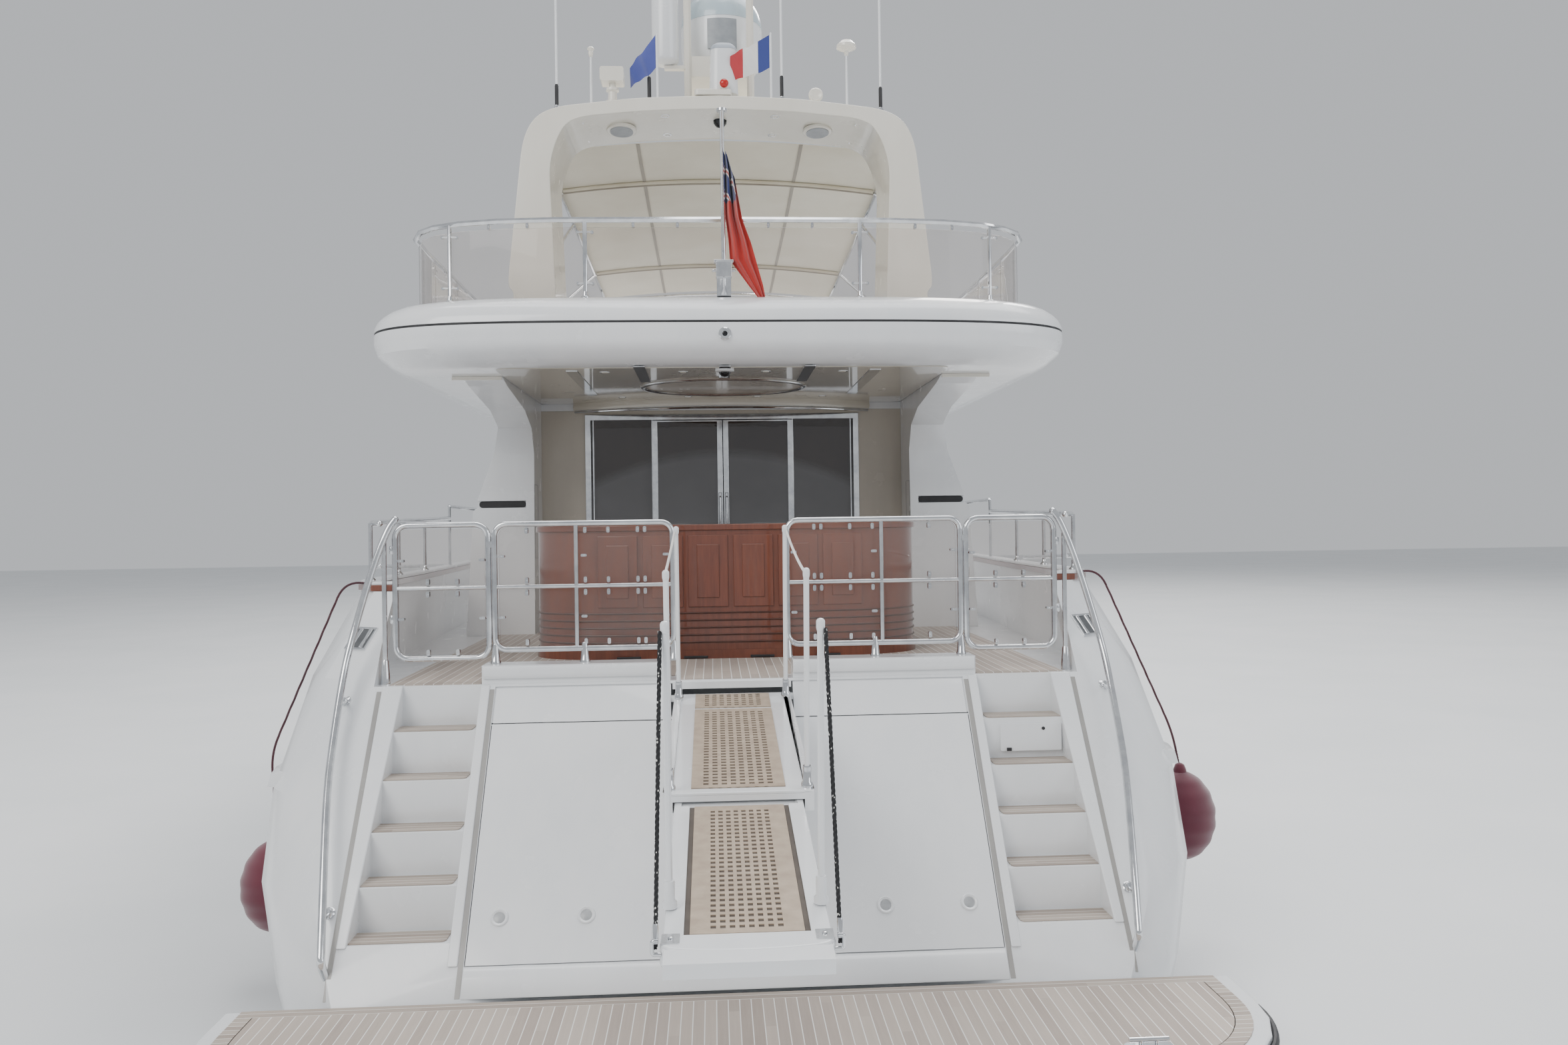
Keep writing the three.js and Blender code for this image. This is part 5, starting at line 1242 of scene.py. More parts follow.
def transomDetail(v):
    # Fittings set on the raked skin, whose outward normal is transomOut
    rimLine = [(0.032, -0.004), (0.034, 0.005), (0.044, 0.01), (0.05, 0.006), (0.052, -0.004)]
    lensLine = [(0.033, -0.004), (0.031, 0.001), (0.02, 0.004), (0.006, 0.005)]
    lamps = [(x, transomY(v["lampZ"]), v["lampZ"]) for x in (-1.35, -0.86, 0.86, 1.35)]
    piece("transom_lamp_rims", [lathe(rimLine, at, transomOut, 28) for at in lamps], white, "garage_door")
    lens = plainFinish("lampLens", (0.45, 0.46, 0.47), (0.33, 0.34, 0.35), 0.15, 0.3)
    lenses = [lathe(lensLine, at, transomOut, 20) for at in lamps]
    piece("transom_lamp_lenses", lenses, lens, "garage_door", "clear_panel")
    lipLine = [(-0.02, -0.045), (0.014, -0.04), (0.022, -0.02), (0.022, 0.02), (0.012, 0.04), (-0.02, 0.045)]
    lips = [sweep([(s * x, topY + 0.006, v["lipZ"]) for x in (0.4, 1.6)], lipLine, (0, 0, s)) for s in (-1, 1)]
    piece("coaming_lip", lips, white, sharp=50, bevel=0.004)
    t, w = v["channel"]
    ribs, channels = [], []
    for s in (-1, 1):
        rib = [(s * 1.553, 0.56), (s * 1.612, 0.56), (s * 1.612, 1.978), (s * 1.553, 1.978)]
        wing = [(s * 2.18, 0.655), (s * 2.236, 0.655), (s * 2.236, 1.983), (s * 2.105, 1.983), (s * 2.145, 1.3)]
        for outline, deep in ((rib, 0.03), (wing, 0.24)):
            points, faces = slab(outline, -0.012, deep, (0, 2, 1))
            points[:, 1] += transomY(points[:, 2])
            ribs.append((points, faces))
        # Channels: thin grey strips laid on the skin, partly a gasket line by the door, partly painted shade in the
        # recess by the quarter
        heights = np.linspace(0.42, 1.95, 14)
        outerX = np.interp(heights, [0.42, 1.95], [2.247, 2.252])
        inner = np.array([astern(s * 1.538, z)[0] for z in heights])
        inner[:, 1] = transomY(heights) - 0.0005
        outer = np.array([astern(s * x, z)[0] for x, z in zip(outerX, heights)])
        channels += [sweep(path, [(-t, -w), (t, -w), (t, w), (-t, w)], (s, 0, 0)) for path in (inner, outer)]
    piece("transom_side_mouldings", ribs, white, sharp=40, bevel=0.008)
    piece("transom_channels", channels, shade, sharp=50)
    # The foot under the garage door bulges aft from the door's lower edge and ends just over the teak
    top, low = v["doorFootZ"] - 0.007, platformZ + 0.016
    bulge = [(0.03, top), (-0.004, top), (-0.022, top - 0.012), (-0.026, top - 0.04), (-0.012, low + 0.012), (-0.004, low),
             (0.03, low)]
    foot = slab([(transomY(z) + out, z) for out, z in bulge], -1.518, 1.518, (1, 2, 0))
    piece("transom_foot", foot, white, sharp=30, bevel=0.004)
    z0 = platformZ + riser * treads
    hatchY = transomY(z0)
    front = slab(roundRect(1.72, 2.12, z0 - riser + 0.05, z0 - 0.035, 0.012), hatchY - 0.004, hatchY + 0.03,
                 (0, 2, 1))
    piece("stair_hatch", front, white, sharp=40, bevel=0.003)
    knobs = [lathe([(0.011, 0), (0.011, 0.004), (0.004, 0.006)], (2.0, hatchY - 0.004, z0 - 0.07), (0, -1, 0), 12),
             block((1.76, 1.79), (hatchY - 0.016, hatchY - 0.003), (z0 - 0.21, z0 - 0.19))]
    piece("stair_hatch_knobs", knobs, rubber, "yacht", "steel")
    for side, s in sides:
        place, normal = astern(s * 2.46, 2.26)
        rim = framePlate(-0.1, 0.1, -0.09, 0.09, 0.016, -0.012, 0.02)
        rollers = [lathe([(0.017, -0.075), (0.013, 0), (0.017, 0.075)], (dx, -0.002, 0), n=14)
                   for dx in (-0.045, 0.045)]
        # Painted shade: a dark grey plate inside the rim stands for the shadowed hole
        hole = slab(roundRect(-0.088, 0.088, -0.078, 0.078, 0.01), -0.006, 0.0, (0, 2, 1))
        piece("fairlead_" + side, [laid(p, place, normal) for p in [rim, *rollers]], chrome, sharp=40, bevel=0.004)
        piece("fairlead_hole_" + side, laid(hole, place, normal), jointGreyAndHoleShade)


transomDetail(transomBits)
print("transom fitted")

# Quarters: handrails with their posts, white top on the cap's wood, low double rails
quarter = {"handR": 0.0225, "postX": 2.25, "postY": -10.5, "aftY": -9.94, "foreY": -6.15, "topR": 0.022, "lowR": 0.017,
           "topZ": (3.03, 3.1), "lowZ": (2.735, 2.665), "lowEndY": -7.9, "white": 0.022}


def handrails(v):
    # One tube along a rounded run, on struts that leave the skin at two heights
    run = [(2.175, -10.505, 3.052), (2.22, -10.53, 2.985), (2.312, -10.56, 2.728), (2.42, -10.62, 2.308),
           (2.456, -10.7, 2.081), (2.446, -10.95, 1.698), (2.422, -11.15, 1.441), (2.336, -11.5, 0.999),
           (2.276, -11.74, 0.625)]
    endLine = [(0.0225, -0.001), (0.019, 0.013), (0.01, 0.02), (0.002, 0.0225)]
    footLine = [(0.017, 0.16), (0.022, 0.15), (0.031, 0.02), (0.033, 0.0), (0.033, -0.02)]
    for side, s in sides:
        path = roundPath([(s * x, y, z) for x, y, z in run], 0.3, 7)
        ends = [path[-1] + np.array([0, 0.03, -0.05]), astern(s * 2.265, 0.52)[0] + np.array([0, 0.02, 0])]
        shapes = [tube(np.concatenate([path, ends]), v["handR"], 0.03, 16)]
        shapes.append(lathe(endLine, path[0], path[0] - path[1], 16))
        foot = onHull((s * v["postX"], v["postY"], 2.9), (0, 0, -1))[0]
        shapes.append(tube([foot - np.array([0, 0, 0.02]), (foot[0], foot[1], 2.93)], 0.016))
        shapes.append(lathe(footLine, foot, n=18))
        for z in (1.9, 0.8):
            near = path[np.argmin(np.abs(path[:, 2] - z))]
            skin, normal = astern(near[0], near[2])
            shapes.append(tube([near, skin], 0.013))
            shapes.append(lathe([(0.034, -0.004), (0.034, 0.008), (0.02, 0.016), (0.016, 0.03)], skin, normal, 16))
        piece("handrail_form_" + side, shapes, chrome, sharp=50, node="stair_rail_" + side)


def capRings():
    # The wood cap's rings to starboard: y, inner edge, outer edge and top
    flat = np.empty(len(nodes["bulwark_cap"].data.vertices) * 3)
    nodes["bulwark_cap"].data.vertices.foreach_get("co", flat)
    p = flat.reshape(-1, 3)
    p = p[(p[:, 0] > 0) & (p[:, 1] < 12.5)]
    rings = [(p[np.abs(p[:, 1] - y) < 0.011], y) for y in np.unique(np.round(p[:, 1], 2))]
    return np.array([(y, r[:, 0].min(), r[:, 0].max(), r[:, 2].max()) for r, y in rings if len(r) > 3])


def quarterRails(v):
    # A white strip on the cap's rings, and two tubes over it on three posts
    y, low, high, top = capRings().T
    n, raised = len(y), top + v["white"]
    corners = [(low + 0.012, top), (high - 0.008, top), (high - 0.012, raised), (low + 0.016, raised)]
    strips = []
    for s in (-1, 1):
        grid = np.stack([np.stack([s * x, y, z], 1) for x, z in corners], 1)
        faces = gridFaces(n, 4, False, True) + [[0, 1, 2, 3], [4 * n - 4, 4 * n - 3, 4 * n - 2, 4 * n - 1]]
        strips.append((grid.reshape(-1, 3), faces))
    piece("cap_white_tops", strips, white, sharp=40, bevel=0.006)
    for side, s in sides:
        def spot(at, z=None, up=0.0):
            x = np.interp(at, y, (low + high) / 2)
            return (s * x, at, (np.interp(at, y, top) + v["white"] if z is None else z) + up)
        aft, fore = v["aftY"], v["foreY"]

        def height(at):
            return np.interp(at, (aft, fore), v["topZ"])
        upper = [spot(at, height(at)) for at in np.linspace(aft, fore, 12)]
        lower = [spot(at, np.interp(at, (aft, v["lowEndY"]), v["lowZ"])) for at in np.linspace(aft, v["lowEndY"], 7)]
        shapes = [tube(upper, v["topR"], 0.1, 16), tube(lower, v["lowR"], 0.1, 14)]
        for start, r in ((upper[0], v["topR"]), (lower[0], v["lowR"])):
            endLine = [(r, 0), (r * 0.87, r * 0.5), (r * 0.5, r * 0.87), (r * 0.05, r)]
            shapes.append(lathe(endLine, start, (0, -1, 0), 16))
        for at in (-9.74, -8.65, -7.56):
            shapes.append(tube([spot(at, up=-0.01), spot(at, height(at))], 0.015))
            shapes.append(lathe([(0.034, 0), (0.034, 0.007), (0.019, 0.02), (0.016, 0.04)], spot(at), (0, 0, 1), 16))
        piece("quarter_rails_" + side, shapes, chrome, sharp=50)


handrails(quarter)
quarterRails(quarter)
print("quarters railed")

# Under the overhang: glossy ceiling, mirrored strips, oval ring, camera dome, cornice, stern lamp
ceiling = {"z": 4.2195, "strips": ((-1.2, -9.0, -7.3), (-0.66, -9.25, -8.3), (0.0, -9.25, -8.35), (0.66, -9.25, -8.3),
                                   (1.2, -9.0, -7.3)), "oval": (0.0, -7.9, 0.71, 0.58)}


def underOverhang(v):
    # Panel, strips, oval, lamps and cornice under the flybridge's overhang
    glossy = gelcoatFinish("ceilingGloss", (0.63, 0.585, 0.5), (0.56, 0.52, 0.44), 1.0)
    panel = slab(roundRect(-1.78, 1.78, -9.14, -6.52, 0.12), v["z"] - 0.006, v["z"])
    piece("ceiling_panel", panel, glossy, bevel=0.002)
    strips = [slab(roundRect(x - 0.045, x + 0.045, a, b, 0.01), v["z"] - 0.012, v["z"] - 0.005)
              for x, a, b in v["strips"]]
    piece("ceiling_strips", strips, chrome, bevel=0.001)
    cx, cy, rx, ry = v["oval"]
    ring = atHeight(ellipse(cx, cy, rx, ry, 64), v["z"] - 0.012)
    piece("ceiling_oval_ring", sweep(ring, circleOf(0.024, 10, 0.6), (0, 0, 1), True), chrome)
    disc = ellipse(cx, cy, rx - 0.03, ry - 0.03, 64)
    piece("ceiling_oval", slab(disc, v["z"] - 0.01, v["z"] - 0.004), beige)
    dome = lathe([(0.05, 0), (0.05, -0.012), (0.042, -0.035), (0.025, -0.052), (0.004, -0.058)],
                 (0, -9.02, v["z"] - 0.005))
    piece("ceiling_camera", dome, darkGlass)
    base = lathe([(0.075, 0), (0.075, -0.014), (0.05, -0.02)], (0, -9.02, v["z"] - 0.005))
    piece("ceiling_camera_base", base, white)
    lamps, rims = [], []
    for x in (-0.95, -0.33, 0.33, 0.95):
        for y in (-8.9, -7.1):
            lamps.append(lathe([(0.026, 0), (0.026, -0.004), (0.004, -0.006)], (x, y, v["z"] - 0.006), (0, 0, 1), 16))
            rims.append(lathe([(0.03, 0), (0.04, -0.003), (0.04, 0.0)], (x, y, v["z"] - 0.006), (0, 0, 1), 20))
    piece("ceiling_lamps", lamps, lampGlass)
    piece("ceiling_lamp_rims", rims, chrome)
    k = np.linspace(-1, 1, 40)
    arc = np.stack([1.46 * k, -6.56 - 0.42 * (1 - k**2), np.full(40, 4.175)], 1)
    moulding = [(-0.012, -0.03), (0.02, -0.03), (0.03, 0.0), (0.02, 0.04), (-0.012, 0.04)]
    piece("door_cornice", sweep(arc, moulding, (0, 0, 1)), glossy, sharp=50)
    low = arc + np.array([0, 0.02, -0.045])
    piece("door_cornice_bead", sweep(low, circleOf(0.012, 8), (0, 0, 1)), chrome)
    bars = [block(onSide(s, 1.8, 2.2), (-8.664, -8.648), (4.19, v["z"])) for s in (-1, 1)]
    piece("ceiling_edge_bars", bars, cream, bevel=0.003)
    at, aft = (0, fly["aftY"], 4.42), (0, -1, 0)
    ring = lathe([(0.022, 0.004), (0.024, 0.012), (0.04, 0.014), (0.048, 0.008), (0.05, -0.01)], at, aft, 28)
    piece("stern_lamp_rim", ring, chrome)
    lens = lathe([(0.023, -0.004), (0.02, 0.004), (0.008, 0.008)], at, aft, 20)
    piece("stern_lamp_lens", lens, darkGlass)


underOverhang(ceiling)

# Wing pillars: dark slots, small hatches on the inner sides
for side, s in sides:
    slot = slab(roundRect(*onSide(s, 1.883, 2.32), 3.187, 3.248, 0.029), -6.99, -6.971, (0, 2, 1))
    piece("wing_slot_" + side, slot, rubber)
    marks = [block(onSide(s, 1.7985, 1.8), (-6.98, -6.78), (z, z + 0.005)) for z in (2.7, 3.02, 3.4)]
    marks += [block(onSide(s, 1.7985, 1.8), (y, y + 0.005), (2.7, 3.4)) for y in (-6.98, -6.78)]
    piece("wing_hatch_" + side, marks, jointGreyAndHoleShade)
print("overhang fitted")

# Aft flybridge rail: cross brackets, hanging clips, staff clamp
flyRail = {"z": 5.343, "posts": ((1.06, -9.223), (2.12, -9.046), (2.52, -7.9), (2.52, -7.0), (2.52, -6.1)),
           "clips": (0.35, 0.69, 1.5, 1.8)}


def railLineAt(x, inset=0.27):
    # The rail's y at a given x on its stern curve
    line = flyPlan(inset, 200)
    tail = line[line[:, 1] < -8.4]
    order = np.argsort(tail[:, 0])
    return float(np.interp(x, tail[order, 0], tail[order, 1]))


def flyRailFittings(v):
    # Brackets and feet at the posts, clips along the stern curve, tabs and the staff's clamp
    parts = []
    for x0, y0 in v["posts"]:
        for s in (-1, 1):
            x = s * x0
            side = abs(x0) > 2.5
            for z in (v["z"] - 0.095, v["z"] - 0.49):
                d = np.array([0, 0.055, 0]) if side else np.array([0.055, 0, 0])
                c = np.array([x, y0, z])
                parts.append(tube([c - d, c + d], 0.0065))
                inward = np.array([-s, 0, 0]) if side else np.array([0, 1.0, 0])
                for k in (-1, 1):
                    parts.append(lathe([(0.013, -0.002), (0.013, 0.018), (0.007, 0.024)], c + k * d, inward, 12))
            foot = (x, y0, fly["topZ"] + lift)
            parts.append(lathe([(0.036, 0), (0.036, 0.008), (0.024, 0.016), (0.018, 0.05)], foot, (0, 0, 1), 18))
    for x0 in v["clips"]:
        for s in (-1, 1):
            y = railLineAt(s * x0)
            parts += clip(s * x0, v["z"] - 0.04, y)
    for y in (-7.45, -6.55, -5.8):
        for s in (-1, 1):
            plan = roundRect(y - 0.011, y + 0.011, v["z"] - 0.06, v["z"] - 0.018, 0.008, 3)
            tab = slab(plan, -0.014, 0.014, (1, 2, 0))
            parts.append((tab[0] + np.array([s * 2.51, 0, 0]), tab[1]))
    piece("fly_rail_fittings", parts, chrome)
    staffY = fly["aftY"] + 0.205
    clamp = [block((-0.06, 0.06), (staffY - 0.05, staffY + 0.04), (4.88, 5.0)),
             block((-0.075, 0.075), (staffY - 0.035, staffY + 0.03), (4.99, 5.015)),
             tube([(-0.09, staffY + 0.02, 4.94), (0.09, staffY + 0.02, 4.94)], 0.012)]
    piece("staff_clamp", clamp, chrome, bevel=0.004)


flyRailFittings(flyRail)

# On the arch: downlights, oval speakers, lamps, horn, knob and mushroom aerials, masthead pieces
archTop = {"y": -8.26, "aftY": -8.35, "topZ": 6.63, "underZ": 6.515}


def archTopAt(x):
    # The height of the arch's upper face, which falls from its middle as the square of x
    return archTop["topZ"] - 0.104 * (x / 1.38) ** 2


def archForm(v):
    # Half of the outline, mirrored, its corners rounded twice over; the thin masts stand on it
    floor = fly["floorZ"] + lift
    half = [(0.0, v["topZ"]), (0.7, 6.603), (1.38, 6.526), (1.56, 6.44), (1.66, 6.25), (1.8, 5.01), (1.75, 4.975),
            (1.75, 4.89), (1.83, 4.87), (1.83, floor), (1.38, floor), (1.44, 6.07), (1.33, 6.362), (1.18, 6.442),
            (0.6, 6.496), (0.0, v["underZ"])]
    right = roundPath(half, 0.16, 9)
    left = right[1:-1][::-1] * (-1, 1)
    body = slab(np.concatenate([right, left]), v["aftY"], -7.5605, (0, 2, 1))
    piece("arch_form", body, cream, sharp=30, bevel=0.03, node="radar_arch")
    sticks = ((-1.38, 9.3), (1.38, 9.3), (0.53, 9.3), (-1.09, 7.03), (1.09, 7.06), (-0.53, 7.18), (0.44, 7.2))
    masts = []
    for x, top in sticks:
        foot = v["underZ"] + 0.02 - 0.1 * (x / 1.38) ** 2
        stick = [(0.011, foot), (0.0105, (foot + top) / 2), (0.008, top - 0.01), (0.005, top)]
        masts.append(lathe(stick, (x, v["y"], 0), n=12))
    piece("arch_masts", masts, white, sharp=60, node="radar_arch")


archForm(archTop)


def archFittings(v):
    # Pieces that stand on the arch's crown or hang under it, each at its height for x
    spots, lenses = [], []
    for x in (0.47, 1.2):
        for y in (-8.2, -7.72):
            for s in (-1, 1):
                z = v["underZ"] - 0.1 * (x / 1.38) ** 2 - 0.001
                spots.append(lathe([(0.024, 0.002), (0.028, -0.006), (0.038, -0.006), (0.042, 0.002)], (s * x, y, z)))
                lenses.append(lathe([(0.025, 0.002), (0.02, -0.003), (0.004, -0.004)], (s * x, y, z), (0, 0, 1), 14))
    piece("arch_downlights", spots, chrome)
    piece("arch_downlight_lenses", lenses, lampGlass)
    ovals, meshes = [], []
    for s in (-1, 1):
        z = v["underZ"] - 0.1 * (0.86 / 1.38) ** 2
        ovals.append(slab(ellipse(s * 0.86, -7.95, 0.13, 0.17, 40), z - 0.03, z))
        meshes.append(slab(ellipse(s * 0.86, -7.95, 0.1, 0.135, 40), z - 0.036, z - 0.029))
    piece("arch_speakers", ovals, cream, bevel=0.01)
    cloth = plainFinish("speakerCloth", (0.45, 0.47, 0.5), (0.36, 0.38, 0.41), 0.6, 0.8)
    piece("arch_speaker_grilles", meshes, cloth, "yacht", "gelcoat")
    dome = lathe([(0.06, 0), (0.055, -0.03), (0.035, -0.055), (0.004, -0.065)], (0, -8.05, v["underZ"] + 0.001))
    piece("arch_camera", dome, darkGlass)
    y = v["y"]
    whites, darks, metals = [], [], []
    for x, top, r, h in ((-1.09, 7.03, 0.03, 0.03), (1.09, 7.06, 0.085, 0.07)):
        mushroom = [(0.014, -0.05), (0.022, -0.02), (r * 0.6, -0.005), (r, 0.012), (r, h * 0.5), (r * 0.6, h),
                    (0.004, h * 1.05)]
        whites.append(lathe(mushroom, (x, y, top)))
    for x in (-1.38, 1.38, 0.53):
        foot = archTopAt(x)
        darks.append(lathe([(0.016, 0.03), (0.016, 0.2), (0.012, 0.215)], (x, y, foot), (0, 0, 1), 12))
        metals.append(lathe([(0.03, 0), (0.03, 0.01), (0.02, 0.03), (0.02, 0.035)], (x, y, foot), (0, 0, 1), 14))
    darks.append(lathe([(0.017, 0.02), (0.017, 0.2), (0.01, 0.21)], (-0.6, y + 0.02, archTopAt(0.6)), n=12))
    metals.append(tube([(-0.6, y + 0.02, v["topZ"] - 0.02), (-0.6, y + 0.02, v["topZ"] + 0.34)], 0.007))
    foot = archTopAt(0.91)
    stand = [(0.06, 0), (0.06, 0.012), (0.04, 0.02), (0.036, 0.09), (0.055, 0.1), (0.055, 0.12), (0.03, 0.13),
             (0.03, 0.17)]
    whites.append(lathe(stand, (-0.91, y, foot)))
    whites.append(slab(roundRect(-1.01, -0.81, foot + 0.165, foot + 0.285, 0.02), y - 0.08, y + 0.08, (0, 2, 1)))
    foot = archTopAt(0.82)
    horn = [(0.012, -0.06), (0.045, -0.05), (0.062, 0.0), (0.062, 0.02), (0.05, 0.03), (0.03, 0.02), (0.004, 0.018)]
    whites.append(lathe(horn, (0.82, y, foot + 0.07), (0, -1, 0), 24))
    whites.append(lathe([(0.05, -0.004), (0.05, 0.012), (0.02, 0.02), (0.02, 0.05)], (0.82, y + 0.03, foot)))
    piece("arch_aerials", whites, cream)
    piece("arch_aerial_boots", darks, rubber)
    piece("arch_aerial_feet", metals, chrome)
    plate = slab(roundRect(-0.215, 0.1, y - 0.1, y + 0.14, 0.03), v["topZ"] + lift, v["topZ"] + 0.05)
    piece("masthead_plate", plate, cream, bevel=0.008)
    at, aft = (0.035, y - 0.075, v["topZ"] + 0.1), (0, -1, 0)
    lamp = lathe([(0.036, 0), (0.037, 0.02), (0.028, 0.032), (0.004, 0.038)], at, aft, 24)
    piece("masthead_red_lamp", lamp, redLamp)
    rim = lathe([(0.036, -0.03), (0.046, -0.02), (0.046, 0.004), (0.036, 0.008)], at, aft, 24)
    piece("masthead_lamp_rim", rim, cream)


archFittings(archTop)


searchSizes = {"at": (0.035, -8.16), "footZ": 6.6804, "tall": 0.36, "half": 0.125, "taper": 0.012}


def searchlight(v):
    # A pedestal that tapers over four fifths and is then rounded over: half = taper line sqrt(1 - over^2)
    q = np.linspace(0, 1, 24)
    climb, over = np.clip(q * 1.25, 0, 1), np.clip((q - 0.8) / 0.2, 0, 1)
    half = (v["half"] - v["taper"] * climb) * np.sqrt(np.clip(1 - over**2, 0.0004, 1))
    top = v["footZ"] + v["tall"] * climb + 0.11 * over**0.7 * 0.9
    (x, y), centre = v["at"], np.array(v["at"])
    rings = [atHeight(roundRect(x - h, x + h, y - h * 0.9, y + h * 0.9, h * 0.6, 5), z) for h, z in zip(half, top)]
    # Painted shade: a bluish-grey skin over the rounded top stands for the shade on it
    head = [np.c_[centre + (r[:, :2] - centre) * 1.02, r[:, 2] + 0.002] for r in rings[19:]]
    paintedShadeGrey = plainFinish("headPaintedShade", (0.42, 0.46, 0.52), (0.34, 0.38, 0.43), 0.3, 0.5)
    piece("searchlight_top_shade", capped(head), paintedShadeGrey, "yacht", "gelcoat", 60)
    piece("searchlight_form", capped(rings), white, sharp=60, node="searchlight")


searchlight(searchSizes)


def satDome():
    # The dome: straight-sided below, a darker cap over it, and a square service panel facing aft
    c = (0.03, -7.51, 7.1204)
    q = np.linspace(0, math.pi / 2, 16)
    side = [(0.26, 0), (0.3, 0.01), (0.345, 0.06), (0.365, 0.14), (0.37, 0.24), (0.37, 0.36), (0.366, 0.4)]
    cap = [(0.37, 0.4)] + [(0.37 * math.cos(a), 0.4 + 0.36 * math.sin(a)) for a in q[1:-1]] + [(0.006, 0.76)]
    panelGrey = plainFinish("lightGreyPanel", (0.33, 0.35, 0.37), (0.26, 0.28, 0.3), 0.3, 0.5)
    piece("sat_dome_body", lathe(side, c, (0, 0, 1), 48), white, sharp=50, node="sat_dome")
    capColor = gelcoatFinish("domeCap", (0.5, 0.6, 0.65), (0.42, 0.52, 0.58))
    piece("sat_dome_cap", lathe(cap, c, (0, 0, 1), 48), capColor, "yacht", "gelcoat", 50, node="sat_dome")
    a = np.linspace(-math.pi / 2 - 0.36, -math.pi / 2 + 0.36, 12)
    arc = np.stack([c[0] + 0.373 * np.cos(a), c[1] + 0.373 * np.sin(a)], 1)
    back = np.stack([c[0] + 0.33 * np.cos(a), c[1] + 0.33 * np.sin(a)], 1)[::-1]
    panel = slab(np.concatenate([arc, back]), c[2] + 0.1, c[2] + 0.37)
    piece("sat_dome_panel", panel, panelGrey, sharp=50, bevel=0.004)


satDome()
for node in ("windlass", "anchor"):
    dressed(node, chrome, 0.004)
q = np.linspace(0, math.pi / 2, 8)
tallDome = [(0.117 * math.sin(a), 0.05 * (1 - math.cos(a))) for a in q[1:]]
tallDome += [(0.117, 1.2)] + [(0.117 * math.cos(a), 1.2 + 0.1 * math.sin(a)) for a in q[1:-1]] + [(0.004, 1.3)]
tallForm = lathe(tallDome, (-0.47, -7.93, 7.0304), n=40)
piece("antenna_dome_form", tallForm, white, sharp=50, node="antenna_dome")
print("arch fitted")


def colorsByReach(name, stops):
    # Cloth in upright bands: each (place, colour) holds from its place on
    mat = newMaterial(name, Roughness=0.85, Sheen_Weight=0.3)
    p = objectPoint(mat)
    x, first = coordinates(mat, p)[0], stops[0][1]
    color = mixColor(mat, noise(mat, p, 6, 3), first, tuple(c * 0.85 for c in first))
    for at, tone in stops[1:]:
        color = mixColor(mat, maths(mat, "GREATER_THAN", x, at), color, tone)
    weave = addNode(mat, "ShaderNodeTexWave", {"bands_direction": "Z"}, {"Vector": p, "Scale": 170.0}).outputs["Fac"]
    return finish(mat, color, None, weave, 0.0004, 0.3)


def courtesyFlags():
    # Each flag hangs by its hoist, (top, foot), and is blown to port: rows of height at the hoist go to a free end
    def waved(x0, z0, z1, endX, e0, e1, belly):
        def shape(u, w):
            # w out from the staff, u down the hoist
            x = x0 + (endX - x0) * (w - 0.12 * np.sin(math.pi * w) * (u - 0.5))
            y = -8.26 + (0.05 * np.sin(w * 6 + u * 1.6) + 0.02 * np.sin(w * 17 + u * 3)) * w
            sag = belly * np.sin(math.pi * w) * (0.4 + 0.6 * u)
            return x, y, (1 - w) * (z0 + (z1 - z0) * u) + w * (e0 + (e1 - e0) * u) - sag
        return surface(shape, 24, 30, 0.0015)
    blue = clothFinish("blueFlag", (0.1, 0.12, 0.42), (0.06, 0.08, 0.3), 1400)
    one = piece("flag_blue", waved(-0.541, 7.17, 6.89, -0.76, 6.87, 6.74, 0.02), blue, "yacht", "canvas", 70)
    stops = ((0, (0.55, 0.05, 0.06)), (0.2, (0.8, 0.79, 0.77)), (0.33, (0.04, 0.06, 0.25)))
    bands = colorsByReach("bandedFlag", stops)
    two = piece("flag_banded", waved(0.428, 7.18, 6.9, 0.09, 6.98, 6.79, 0.015), bands, "yacht", "canvas", 70)


courtesyFlags()
print("flags flown")

# Sides and foredeck, guessed: window trims, portholes, side lamps, wipers, deck hatch
def saloonHalfAt(z):
    # The saloon side's half-breadth, which leans in by 0.31 m over its height
    return 2.23 - (z - 2.85) / 1.37 * 0.31


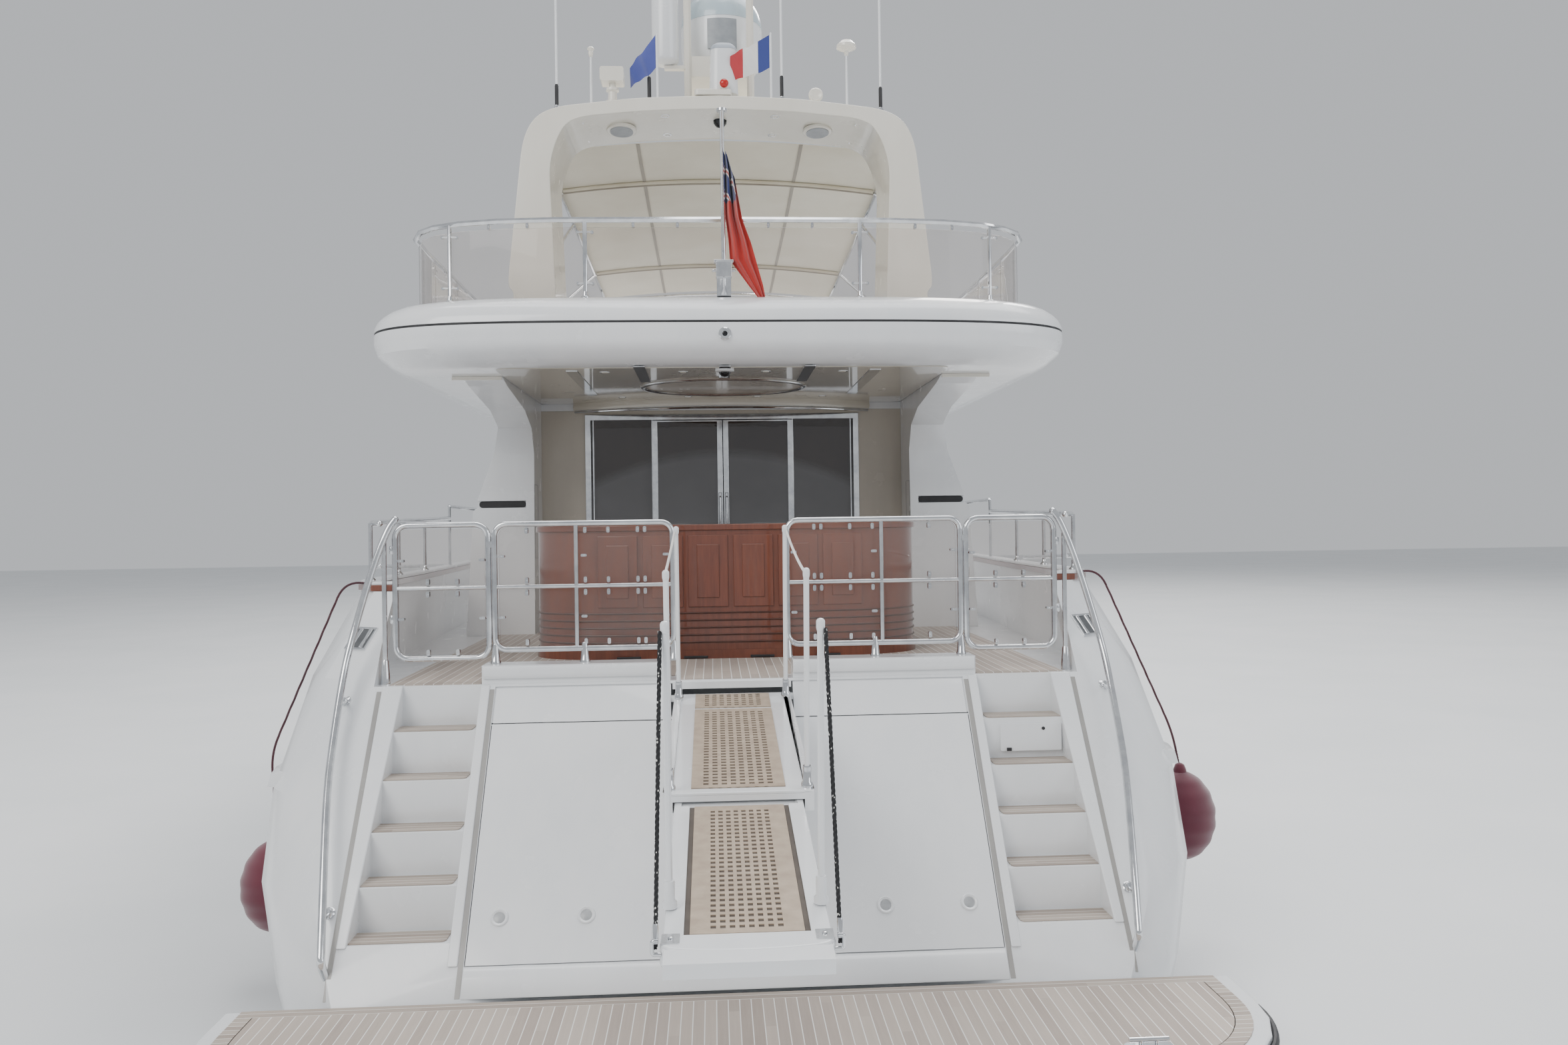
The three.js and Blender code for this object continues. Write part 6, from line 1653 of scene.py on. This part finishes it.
def sideDetails():
    # Trims on the saloon's leaning side, portholes on the hull's skin, wipers, lamps and hatch
    trims, rims, panes, wipers = [], [], [], []
    rimLine = [(0.125, -0.03), (0.125, 0.006), (0.135, 0.014), (0.155, 0.01), (0.16, -0.03)]
    outline = np.array([(-5.8, 2.96), (1.5, 2.96), (0.9, 3.86), (-5.5, 3.86), (-5.8, 2.96)])
    for s in (-1, 1):
        corner = roundPath(outline, 0.08)
        edge = np.stack([s * (saloonHalfAt(corner[:, 1]) + 0.004), corner[:, 0], corner[:, 1]], 1)
        trims.append(sweep(edge, circleOf(0.016, 8)))
        for y in (-3.6, -1.4):
            bar = np.array([(s * (saloonHalfAt(z) - 0.008), y, z) for z in (2.96, 3.86)])
            trims.append(sweep(bar, circleOf(0.02, 8)))
        for y in (-5.4, -3.3, -1.2, 0.9, 3.0, 5.0):
            place, normal = abeam(s, y, 1.12 + 0.05 * max(y, 0))
            rims.append(lathe(rimLine, place, normal, 32))
            panes.append(lathe([(0.128, -0.03), (0.128, 0.002), (0.004, 0.004)], place, normal, 32))
        lean = np.array([(s * 0.5, 3.95, 3.02), (s * 0.3, 3.66, 3.3), (s * 0.12, 3.3, 3.6)])
        wipers.append(tube(lean, 0.01, 0.05, 8))
        wipers.append(tube([(s * 0.02, 3.5, 3.46), (s * 0.26, 3.16, 3.74)], 0.012, 0.05, 8))
    piece("side_window_trims", trims, chrome, sharp=60)
    piece("porthole_rims", rims, chrome, sharp=60)
    piece("porthole_panes", panes, darkGlass, sharp=60)
    piece("windscreen_wipers", wipers, rubber, sharp=60)
    for (side, s), lamp in zip(sides, (redLamp, greenLamp)):
        lens = lathe([(0.05, -0.02), (0.05, 0.03), (0.035, 0.05), (0.004, 0.055)], (s * 2.735, -0.6, 5.0),
                     (s, 0, 0), 20)
        piece("side_lamp_" + side, lens, lamp, "yacht", "clear_panel", 60)
    z = foredeckZ + lift
    hatch = slab(roundRect(-0.33, 0.33, 8.3, 8.96, 0.07), z, z + 0.05)
    piece("foredeck_hatch", hatch, white, bevel=0.015)
    pane = slab(roundRect(-0.26, 0.26, 8.37, 8.89, 0.05), z + 0.048, z + 0.056)
    piece("foredeck_hatch_pane", pane, darkGlass, bevel=0.003)


sideDetails()
print("sides fitted")
